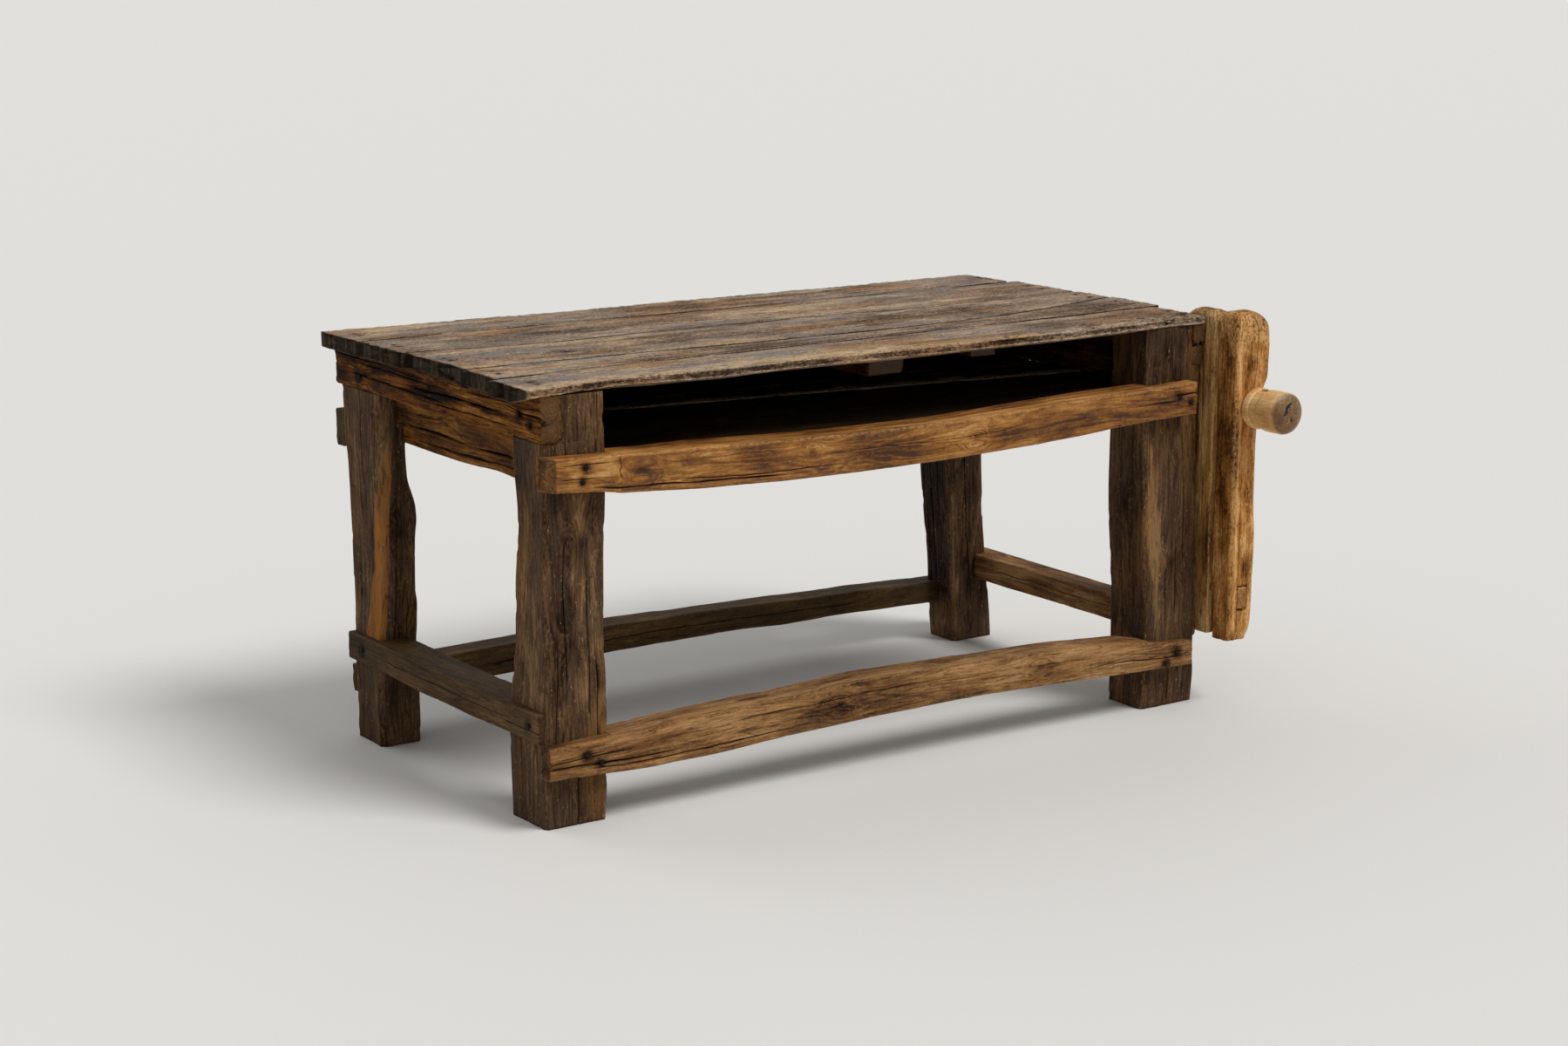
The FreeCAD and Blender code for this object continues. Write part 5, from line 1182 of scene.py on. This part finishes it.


# %% [markdown]
# ## Under the top
# Inside the frame are rough boards that nobody was meant to see: a shelf of four, a back, two
# battens, and a board with a bearer at each end. They are saw-rough pine. In the compartment they
# are painted near black, for its shade and a century of dust. Only the third shelf board takes the
# top's paler paint: light falls on its front edge through the gap before it, a pale line in the dark,
# so a painted light line lies along the edge and painted shade on its faces.

# %% The shelf and the back board
# Each shelf board by its near edge at the left and right end, and its far edge.
shelf = [
    ((39, 39), (222, 151)), ((226, 154), (499, 279)), ((511, 292), (572, 456)), ((576, 460), (724, 724)),
]
around_legs = {
    0: [(50, 134, 3, 109.5), (1383, 1480, 3, 110.5)],
    3: [(50, 88.5, 1, 620.5), (1393.5, 1480, 1, 651.5)],
}
# The third shelf board's strokes: a painted light line on its front edge and the front strip of its top,
# and painted shade over the rest of its top and its underside.
light_line_strokes = [
    (3, 0.5, 0, 1500, 16, 3), (2, 0.5, 0, 1500, 60, -3), (2, 1, 0, 1500, 14, 6),
    (0, 0.5, 0, 1500, 90, -4),
]
# The third board takes the top's paler paint for its painted light line; the others and the back board take
# the near-black paint of painted shade and dust.
for number, (near, far) in enumerate(shelf):
    timber(
        f"shelf_{number + 1}", f"shelf_board_{number + 1}", 0, (67, 1463),
        ([(66, near[0]), (1464, near[1])], [(66, far[0]), (1464, far[1])], 637.2, 654.8),
        paints["top" if number == 2 else "dusty"], steps=12, arris=1.5, wobble=0.4, ridges=0.2, chips=2,
        notches=around_legs.get(number, ()), rag=(1, 1), seed=101 + number,
        strokes=light_line_strokes if number == 2 else (),
    )
timber(
    "back_panel", "back_board", 0, (93, 1391), (706, 725.2, 655.5, 769.5), paints["dusty"], steps=10,
    grid=10, arris=1.5, wobble=0.5, splits=[(1, 0.5, 200, 900, 0.9, 5), (3, 0.4, 500, 1200, 0.9, 5)],
    knots=[(1, 0.5, 1000, 11), (3, 0.5, 600, 11)], seed=111, ridges=0.25, chips=3,
)

# %% Battens
for name, node, low, high, drop, chamfer, seed in (
    ("batten_wide", "wide_batten", 763.5, 846.5, 736.5, 9.0, 113),
    ("batten_narrow", "narrow_batten", 1008.5, 1069.5, 750.5, 2.0, 115),
):
    timber(
        name, node, 1, (84.5, 635), (drop, 769.7, low, high), paints["batten"], steps=8, grid=7,
        arris=(2, 1.5, chamfer, 2), wobble=0.7, ridges=0.4, splits=[(3, 0.5, 100, 500, 0.9, 5)],
        strokes=[(3, 0.5, 80, 120, 30, -0.8)], rag=(1.5, 1.5), seed=seed, chips=3,
    )

# %% An inner board and a bearer at each end
for name, node, low, high, far, seed, paint in (
    ("inner_left", "left_inner_board", 41.5, 60.5, 621.5, 117, "inner"),
    ("inner_right", "right_inner_board", 1477.5, 1496.5, 652.0, 119, "batten"),
):
    timber(
        name, node, 1, (109.2, far),
        ([(100, 643.5), (200, 648), (330, 642), (450, 650), (600, 644.5)], 769.7, low, high),
        paints[paint], arris=2.5, wobble=1, ridges=0.5, chips=6,
        splits=[(3, 0.5, 100, 600, 1, 6), (0, 0.4, 200, 500, 1.1, 7), (0, 0.7, 350, 620, 0.9, 5)],
        knots=[(0, 0.5, 400, 9)], strokes=[(0, 0.3, 100, 600, 12, 0.9)], seed=seed,
    )
for name, node, low, high, far, seed, paint in (
    ("bearer_left", "left_bearer", 56.5, 95.5, 622.0, 121, "inner"),
    ("bearer_right", "right_bearer", 1434.5, 1473.5, 652.5, 123, "batten"),
):
    timber(
        name, node, 1, (108.7, far),
        ([(100, 598.5), (250, 604), (400, 598), (600, 601)], 636.5, low, high), paints[paint], arris=5,
        wobble=1.6, ridges=0.5, chips=6, splits=[(0, 0.5, 100, 500, 1, 6)],
        strokes=[(0, 0.2, 100, 600, 10, 0.9), (3, 0.5, 100, 600, 9, 0.9)], seed=seed,
    )


# %% [markdown]
# ## The leg vise
# The chop is half of a small beech log: bark side to the front, pale and full of worm holes, narrow
# below the screw so that it clears the shin. The jaw behind it is a post with a rounded, battered
# top. The screw is turned from one piece: a head with a waist and a hole for the bar, and a shank
# with a thread of one turn in twelve millimetres.

# %% Where the screw and the guide go through
screw_x = float(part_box("vise_screw")[0][0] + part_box("vise_screw")[1][0]) / 2 - corner[0]
screw_z = 0.617
guide_x, guide_z = 1.581, 0.227
thread_pitch = 0.012
BORE_DEPTH = 0.006
print("screw at", round(screw_x, 4), screw_z)


def bored(face, size):
    """Sinks the wood round the screw's shank and round the guide, as worn bores are, and paints shade into
    the sunk rings.
    """
    def sunk(along, b, c, side, share):
        away = np.hypot(along - screw_z, b - screw_x)
        hole = held((size - away) / 0.003)
        guide = (np.abs(along - guide_z) < 0.0245) & (np.abs(b - guide_x) < 0.0135)
        both = np.maximum(hole, guide * 1.0) * np.isin(side, face)
        # Painted shade in the sunk bores, as far as they sink.
        return -both * BORE_DEPTH, -both * 2.5, 0
    return sunk


# %% The fixed jaw
def battered(along, b, c, side, share):
    """The fixed jaw's top: rounded, bruised and pitted."""
    near = held((along - 0.745) / 0.05)
    lumps = rough(stretched(along, b, c, 30, 30), 77, 4)
    more, tone, _ = bored((0, 2), 0.021)(along, b, c, side, share)
    push = more - near * MM * 3.0 * np.clip(lumps + 0.3, 0, 2)
    return push, tone + near * (0.9 - 0.6 * lumps), near * 0.9


timber(
    "jaw_fixed", "fixed_jaw", 2, (147.5, 809.5),
    (
        [(147, 1539), (400, 1538.5), (790, 1538.5), (798, 1539.5), (804, 1543), (809.5, 1550)],
        [(147, 1640), (400, 1641), (760, 1641), (776, 1636), (788, 1622), (798, 1600), (809.5, 1575)],
        [(147, -29.5), (785, -29.5), (795, -27), (803, -19), (809.5, -6)],
        [(147, 58), (400, 59.5), (786, 59), (796, 56), (803, 50), (809.5, 40)],
    ),
    paints["jaw"], grid=5, arris=(3, 7, 7, 4), wobble=0.7, ease=2,
    splits=[(3, 0.42, 500, 700, 2.4, 15), (3, 0.62, 600, 810, 1.6, 10), (3, 0.22, 200, 500, 1.3, 8),
        (1, 0.5, 300, 800, 1.4, 9), (1, 0.3, 150, 400, 1, 6), (2, 0.5, 200, 700, 1.2, 7),
        (0, 0.86, 620, 800, 1, 6)],
    knots=[(1, 0.6, 420, 12), (2, 0.4, 600, 11), (3, 0.5, 715, 6)],
    strokes=[(3, 0.8, 500, 780, 10, 1), (3, 0.4, 200, 500, 16, -0.5), (1, 0.7, 300, 750, 14, 0.8)],
    fine=[(782, 809.5, 1.8)], rag=(1, 1.2), seed=131, extra=battered,
)


# %% The chop
def half_log(along, b, c, side, share):
    """The chop's bark side: faint facets of the drawknife, and a pale, crumbly top."""
    more, tone, _ = bored((0, 2), 0.020)(along, b, c, side, share)
    facet = noise(stretched(along, b, c, 7, 55), 85) * 0.9 * MM
    facet = facet * np.isin(side, (0, 1, -1))
    crumbly = held((along - 0.735 + 0.02 * rough(stretched(along, b, c, 0, 40), 86)) / 0.02)
    bitten = crumbly * 0.9 * MM * rough(stretched(along, b, c, 170, 170), 87, 2)
    mottle = 0.8 * rough(stretched(along, b, c, 24, 60), 88, 2)
    return more + facet + bitten, tone + crumbly * 0.6 + mottle, crumbly * 0.95


timber(
    "chop_log", "chop", 2, (137.5, 811.5),
    (
        [(137, 1552), (200, 1548.5), (400, 1548.5), (790, 1548.5), (800, 1550), (806, 1553),
            (811.5, 1560)],
        [(137, 1611), (150, 1616), (306, 1619), (450, 1621), (540, 1619.5), (580, 1622), (640, 1628),
            (675, 1642), (740, 1643.5), (768, 1641.5), (785, 1636), (798, 1626), (806, 1614),
            (811.5, 1600)],
        [(137, -78), (160, -85.5), (792, -86), (801, -84), (807, -80), (811.5, -73)],
        [(137, -31), (790, -30.8), (800, -32.5), (807, -36), (811.5, -44)],
    ),
    paints["chop"], steps=5, grid=4, arris=(19, 2.5, 2.5, 7), wobble=0.9, ridges=0.3, chips=2,
    ease=2,
    splits=[(0, 0.3, 160, 560, 0.8, 5), (0, 0.66, 660, 800, 0.7, 4), (1, 0.4, 200, 500, 0.8, 5),
        (3, 0.5, 300, 700, 0.9, 5), (0, 0.5, 140, 240, 1, 6)],
    knots=[(0, 0.6, 440, 6), (1, 0.5, 360, 8)],
    strokes=[(0, 0.06, 150, 800, 7, 1.6), (0, 0.5, 300, 560, 12, 0.7), (1, 0.5, 150, 800, 30, -0.9),
        (0, 0.85, 150, 600, 10, -0.5), (3, 0.5, 300, 800, 30, -0.5), (0, 0.35, 570, 720, 16, -1)],
    fine=[(784, 812, 1.8)], rag=(1.2, 1), seed=141, extra=half_log, body="chop",
)

# %% The guide, and the key that holds the screw
timber(
    "guide_bar", "parallel_guide", 1, (-86.8, 246.2), (205.5, 248.5, 1570.3, 1591.7), paints["chop"],
    steps=5, grid=5, arris=1.5, wobble=0.25, ridges=0.15, chips=2,
    splits=[(0, 0.4, 0, 200, 0.6, 3), (2, 0.6, 20, 220, 0.6, 3)], strokes=[(0, 0.5, -90, 250, 12, 0.4)],
    rag=(0.6, 0.8), seed=151, body="chop",
)
timber(
    "garter", "garter_key", 0, (1585.3, 1633.8), (-60.1, -50.9, 596.5, 637.5), paints["jaw"], steps=4,
    grid=4, arris=1, wobble=0.15, ridges=0.1, chips=1, rag=(0.4, 0.4), seed=155, body="chop",
)


# %% [markdown]
# ## Turned pieces
# A lathe leaves fine rings, a skew chisel leaves crisp shoulders, and a century of drying leaves
# radial checks in the end grain. The screw's mesh is a ring of points for each place along the axis;
# its thread is cut into the same rings, and the hole for the bar is cut right through the head.

# %% Drying checks and the torn heart of an end
check_depth = 2.5 * MM


def end_checks(around, radius, places, radii, count):
    """Cracks that run out from the middle of an end, and the torn heart beside it, from 0 to 1."""
    slope = np.gradient(radii, places + np.arange(len(places)) * 1e-9)
    facing = held(np.abs(slope) / 1.2)[:, None]
    share = radius / radii.max()
    cracks = np.zeros_like(radius)
    for number in range(count):
        at = 2 * math.pi * (number + 0.9 * math.sin(number * 7.3)) / count
        gap = np.abs((around - at + math.pi) % (2 * math.pi) - math.pi) * radius
        reach = held((share - 0.05 - 0.12 * (number % 3)) * 4)
        reach = reach * held((0.50 + 0.30 * math.sin(number * 3.1) - share) * 6)
        cracks = np.maximum(cracks, held(1 - gap / (0.0012 + 0.0016 * (number % 2))) * reach)
    up, right = radius * np.cos(around) - 0.010, radius * np.sin(around) + 0.005
    along, across = 0.75 * up + 0.66 * right, 0.75 * right - 0.66 * up
    across = across + 0.004 * noise(np.stack([along * 160, 0 * along, 0 * along], -1), 163)
    heart = held(1.8 - np.hypot(along / 0.0130, across / 0.0030))
    return np.maximum(cracks, heart) * facing


print("drying checks sink", check_depth, "m")


# %% A hole through a turned piece
HOLE_SIDES = 48


def bar_hole(points, quads, mark, middle, size, at, places, radii):
    """Cuts an upright hole through the head and gives it a wall, with painted shade on its rim and wall,
    darkest halfway through.
    """
    flat = points[:, [1, 0]] - np.array([at, middle[1]])
    away = np.hypot(*flat.T)
    rim = np.abs(away - size) < 0.0011
    points[rim, 1] = at + flat[rim, 0] / away[rim] * size
    points[rim, 0] = middle[1] + flat[rim, 1] / away[rim] * size
    quads = quads[~np.all(away[quads] < size + 0.0004, axis=1)]
    # Painted shade round the rim of the hole.
    mark[away < size + 0.0015] = 0.35
    angle, levels = np.linspace(0, 2 * math.pi, HOLE_SIDES, endpoint=False), np.linspace(-1, 1, 13)
    x, y = middle[1] + size * np.cos(angle), at + size * np.sin(angle)
    reach = np.sqrt(np.interp(y, places, radii) ** 2 - (x - middle[1]) ** 2) - 0.0006
    wall = np.concatenate([np.stack([x, y, middle[0] + level * reach], -1) for level in levels])
    ids = np.arange(len(wall)).reshape(-1, HOLE_SIDES) + len(points)
    near = np.roll(ids, -1, 1)
    sides = np.stack([ids[:-1], ids[1:], near[1:], near[:-1]], -1).reshape(-1, 4)
    # Painted shade on the wall, darkest halfway through the head.
    depth = np.repeat(0.9 - 0.5 * np.abs(levels), HOLE_SIDES)
    return np.concatenate([points, wall]), np.concatenate([quads, sides]), np.concatenate([mark, depth])


# %% The turner
def turned(name, node, body, middle, axis, profile, paint, turns, seed, checks=0, thread=None, hole=None):
    """A turned piece: profile is (place, radius) pairs along the axis, with both ends closed.

    checks: how many cracks the end has. thread: (start, end, depth). hole: (radius, place)."""
    places, radii = np.array(profile, float).T
    place, around = np.meshgrid(places, np.linspace(0, 2 * math.pi, turns, endpoint=False), indexing="ij")
    radius = np.repeat(radii[:, None], turns, 1)
    spot = np.stack([place * 60, np.cos(around) * 3, np.sin(around) * 3], -1)
    chatter = 0.18 * MM * (0.5 + 0.5 * noise(spot * [12, 0, 0], seed + 1)) * (radius > 0.004)
    radius = radius * (1 + 0.004 * rough(spot, seed)) - chatter
    mark = np.zeros_like(radius)
    if checks:
        mark = end_checks(around, radius, places, radii, checks)
        inward = np.where(np.arange(len(places)) < len(places) / 2, 1.0, -1.0)[:, None]
        place = place + mark * inward * check_depth
    if thread is not None:
        a, z, depth = thread
        turn = (place / thread_pitch - around / (2 * math.pi)) % 1.0
        cut = held(np.abs(turn - 0.5) * 4 - 0.5) * fade(place, a, z, 0.006)
        radius = radius - depth * cut
        # The thread's groove also gets painted shade.
        mark = np.maximum(mark, cut * 0.45)
    first, second = CROSS[axis]
    points = np.zeros(place.shape + (3,))
    points[..., axis] = place
    points[..., first] = middle[0] + radius * np.cos(around)
    points[..., second] = middle[1] + radius * np.sin(around)
    points, mark = points.reshape(-1, 3), mark.ravel()
    index = np.arange(len(points)).reshape(len(places), turns)
    near = np.roll(index, -1, 1)
    quads = np.stack([index[:-1], near[:-1], near[1:], index[1:]], -1).reshape(-1, 4)
    if hole is not None:
        points, quads, mark = bar_hole(points, quads, mark, middle, *hole, places, radii)
    caps = []
    for which in (0, -1):
        centre = np.zeros((1, 3))
        centre[0, axis], centre[0, first], centre[0, second] = places[which], *middle
        fan = np.stack([index[which], near[which], np.full(turns, len(points))], -1)
        caps.append(fan[:, ::-1] if which == 0 else fan)
        points, mark = np.concatenate([points, centre]), np.append(mark, 0.0)
    marks = np.zeros((len(points), 5))
    # The split mark paints shade into the end's checks and torn heart, the thread and the bar hole.
    marks[:, 0] = mark
    marks[:, 2] = 0.3 * rough(points * 25, seed + 3)
    if checks:
        out = np.hypot(points[:, first] - middle[0], points[:, second] - middle[1]) / radii.max()
        waxed = held((1.04 - out) * 6) * (points[:, 1] < places.min() + 0.013)
        marks[:, 3] = waxed
        marks[:, 2] -= waxed * (1.2 * held(1.1 - out) + 1.6 * rough(points * 60, seed + 4))
    grain = np.stack([points[:, axis], points[:, first], points[:, second]], -1) + seed * 1.7
    skin(name, node, body, paint, points + corner, quads, np.concatenate(caps), grain, marks)


def steps_along(pairs, pitch):
    """Fills the profile with places no further apart than a pitch."""
    made = []
    for (a, r), (z, s) in zip(pairs[:-1], pairs[1:]):
        n = max(1, int(math.hypot(z - a, s - r) / pitch))
        made += [(a + (z - a) * k / n, r + (s - r) * k / n) for k in range(n)]
    return made + [pairs[-1]]


# %% The screw
# The end is a low dome, then come the head's beads and its waist, the shoulder, the neck that the key
# holds, and the shank.
DOME, DOME_AT = 0.0118, -0.1715
dome = [
    (DOME_AT - DOME * math.sin(a), 0.0108 + 0.0305 * math.cos(a)) for a in np.linspace(math.pi / 2, 0, 14)
]
beads = metres([
    (-169.0, 42.4), (-140.0, 42.6), (-129.0, 42.2), (-126.2, 41.2), (-125.0, 39.2), (-123.6, 38.6),
    (-121.8, 39.6), (-108.0, 39.7), (-106.2, 38.6), (-104.8, 39.2), (-103.6, 40.8), (-101.0, 41.7),
    (-92.0, 42.0), (-88.5, 41.2), (-87.2, 39.5), (-87.0, 18.2), (-60.6, 17.7), (-60.4, 12.8), (-50.6, 12.8),
], 0, 1)
shank = metres([(-50.4, 17.7), (219.5, 17.7), (221.5, 16.0)], 0, 1)
profile = steps_along([(-0.1834, 0.002), *dome, *beads], 0.0016) + steps_along(shank, 0.0013)
turned(
    "screw_turned", "vise_screw", "screw", (screw_z, screw_x), 1, profile, paints["screw"],
    turns=120, seed=161, checks=7, thread=(-0.026, 0.2215, 0.0038), hole=(0.011, -0.1149),
)


# %% The peg through the guide's tail
peg_low, peg_high = (np.array(limit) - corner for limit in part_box("guide_peg"))
start, end = peg_low[0], peg_high[0]
ends = [(start + 0.0002, 0.0046), (start + 0.0014, 0.0058), (end - 0.0014, 0.0058), (end - 0.0002, 0.0046)]
turned(
    "peg_turned", "guide_peg", "chop", (peg_low + peg_high)[1:] / 2, 0, steps_along(ends, 0.002),
    paints["screw"], turns=40, seed=171,
)


# %% [markdown]
# ## Nails
# A forged nail has a square, tapered shank and a head beaten into four or five facets, black with
# scale and brown with rust. A low ring stack makes the head and a four-sided spike the shank. Each
# stands exactly where the frame has its nail. On the top, hands and tools keep the heads rubbed.

# %% Forged heads
def forged_iron(name, scale, brown, rust_brown):
    """Hammered iron: black scale, which rust and tar have dulled, so that it hardly mirrors."""
    paint, tree = new_paint(name)
    place = add(tree, "ShaderNodeTexCoord", out="Object")
    grains = {"Vector": place, "Scale": 420.0, "Detail": 4.0, "Roughness": 0.6}
    rust = add(tree, "ShaderNodeTexNoise", grains)
    colour = add(tree, "ShaderNodeValToRGB", {"Fac": rust})
    set_stops(colour, [(0.35, scale), (0.52, brown), (0.68, rust_brown)])
    bump = add(tree, "ShaderNodeBump", {"Height": rust, "Strength": 0.6, "Distance": 0.8 * MM})
    looks = {"Base Color": colour, "Metallic": 0.6, "Roughness": 0.75, "Normal": bump}
    shader = add(tree, "ShaderNodeBsdfPrincipled", {**looks, "Specular IOR Level": 0.2})
    add(tree, "ShaderNodeOutputMaterial", {"Surface": shader})
    return paint


iron = forged_iron("iron_forged_rusty", "#0b0908", "#1a1410", "#38251a")
rubbed_iron = forged_iron("iron_rubbed_dusty", "#241e18", "#3b3128", "#5c4a39")


# The rings of a head, by reach and rise in millimetres.
HEAD_RINGS = ((5.4, -0.6), (5.5, 0.35), (4.4, 1.2), (2.6, 1.95), (1.0, 2.15))


def nail_piece(node):
    """All nails of a node: low, lopsided pyramids with a flattened crown, on square tapered shanks."""
    points, faces = [], []

    def ring_of(base, axis, way, rise, sizes):
        first = len(points)
        for angle, size in sizes:
            spot = np.array(base, float)
            spot[axis] += way * rise
            spot[(axis + 1) % 3] += math.cos(angle) * size
            spot[(axis + 2) % 3] += math.sin(angle) * size
            points.append(spot.tolist())
        return first

    for number, (base, axis, way, length) in enumerate(nails[node]):
        lean = noise(np.array([[number * 2.3, 0.5, axis]]), 7)[0]
        corners = [2 * math.pi * k / 12 + lean for k in range(12)]
        rings = []
        for reach, rise in HEAD_RINGS:
            beaten = [(a, reach * MM * (1 - 0.07 * (1 + math.cos(4 * a + number)))) for a in corners]
            rings.append(ring_of(base, axis, way, rise * MM, beaten))
        for first, second in zip(rings[:-1], rings[1:]):
            for k in range(12):
                faces.append((first + k, first + (k + 1) % 12, second + (k + 1) % 12, second + k))
        faces += [tuple(rings[-1] + k for k in range(12)), tuple(rings[0] + 11 - k for k in range(12))]
        square = [math.pi / 4 + math.pi / 2 * k for k in range(4)]
        thick = ring_of(base, axis, way, -0.0006, [(a, 0.0027) for a in square])
        thin = ring_of(base, axis, way, -length * 0.98, [(a, 0.0009) for a in square])
        faces += [(thin + k, thin + (k + 1) % 4, thick + (k + 1) % 4, thick + k) for k in range(4)]
        faces.append(tuple(thin + 3 - k for k in range(4)))
    mesh = bpy.data.meshes.new(node + "_forged")
    mesh.from_pydata(points, [], faces)
    dress(node + "_forged", mesh, node, "bench", rubbed_iron if "plank" in node or "top" in node else iron)


for node in nails:
    nail_piece(node)


# %% [markdown]
# ## Studio
# A bench this dark is best shown on a pale floor. One wide light stands where a window would, high
# over the front, and a weak one fills the back. The background has the colour that the lit floor
# shows, so no horizon is seen, and it is shown to the eye and to mirrors only.

# %% The floor
def plain(name, code, roughness):
    """A plain matt paint for the floor."""
    paint = bpy.data.materials.new(name)
    paint.use_nodes = True
    shader = paint.node_tree.nodes["Principled BSDF"]
    shader.inputs["Base Color"].default_value = linear(code)
    shader.inputs["Roughness"].default_value = roughness
    return paint


FLOOR = 60
floor_mesh = bpy.data.meshes.new("floor")
corners = [(-FLOOR, -FLOOR, 0), (FLOOR, -FLOOR, 0), (FLOOR, FLOOR, 0), (-FLOOR, FLOOR, 0)]
floor_mesh.from_pydata(corners, [], [(0, 1, 2, 3)])
floor = linked("floor", floor_mesh)
floor_mesh.materials.append(plain("studio_floor", "#dedcd8", 0.7))


# %% Light
def soft_sun(name, towards, angle, strength):
    """A wide, soft light from far away, so that the whole floor gets the same light."""
    light = bpy.data.lights.new(name, "SUN")
    light.angle = math.radians(angle)
    light.energy = strength
    linked(name, light).rotation_euler = Vector(towards).to_track_quat("Z", "Y").to_euler()


soft_sun("front_light", (0.28, -0.55, 0.80), 24, 2.1)
soft_sun("back_light", (-0.35, 0.75, 0.55), 40, 0.35)

world = bpy.context.scene.world or bpy.data.worlds.new("studio")
bpy.context.scene.world = world
world.use_nodes = True
sky = world.node_tree
sky.nodes.clear()
soft = add(sky, "ShaderNodeBackground", {"Color": linear("#ffffff"), "Strength": 0.42})
pale = add(sky, "ShaderNodeBackground", {"Color": linear("#e1dfdb"), "Strength": 1.0})
seen = add(sky, "ShaderNodeLightPath").node.outputs
shown = seen["Is Camera Ray"]
for ray in ("Is Transmission Ray", "Is Glossy Ray"):
    shown = add(sky, "ShaderNodeMath", {0: seen[ray], 1: shown}, operation="MAXIMUM")
mixed = add(sky, "ShaderNodeMixShader", {0: shown, 1: soft, 2: pale})
add(sky, "ShaderNodeOutputWorld", {"Surface": mixed})

print("suns", [light.name for light in bpy.data.lights])

# %% The camera, fitted to the floor corners of the legs and the corners of the top
YAW, PITCH = 0.603, 0.2142
eye = bpy.data.cameras.new("camera")
eye.sensor_width = 36.0
eye.lens = 69.415
eye.clip_start, eye.clip_end = 0.1, 200.0
camera = linked("camera", eye)
camera.location = (-3.3731, -4.78795, 1.6804)
camera.rotation_euler = (math.pi / 2 - PITCH, 0.0, -YAW)
bpy.context.scene.camera = camera
bpy.context.scene.view_settings.view_transform = "Standard"
print("camera at", [round(v, 3) for v in camera.location])

# %% Sizes and the end
print(sum(made_pieces.values()), "faces in", len(made_pieces), "pieces")
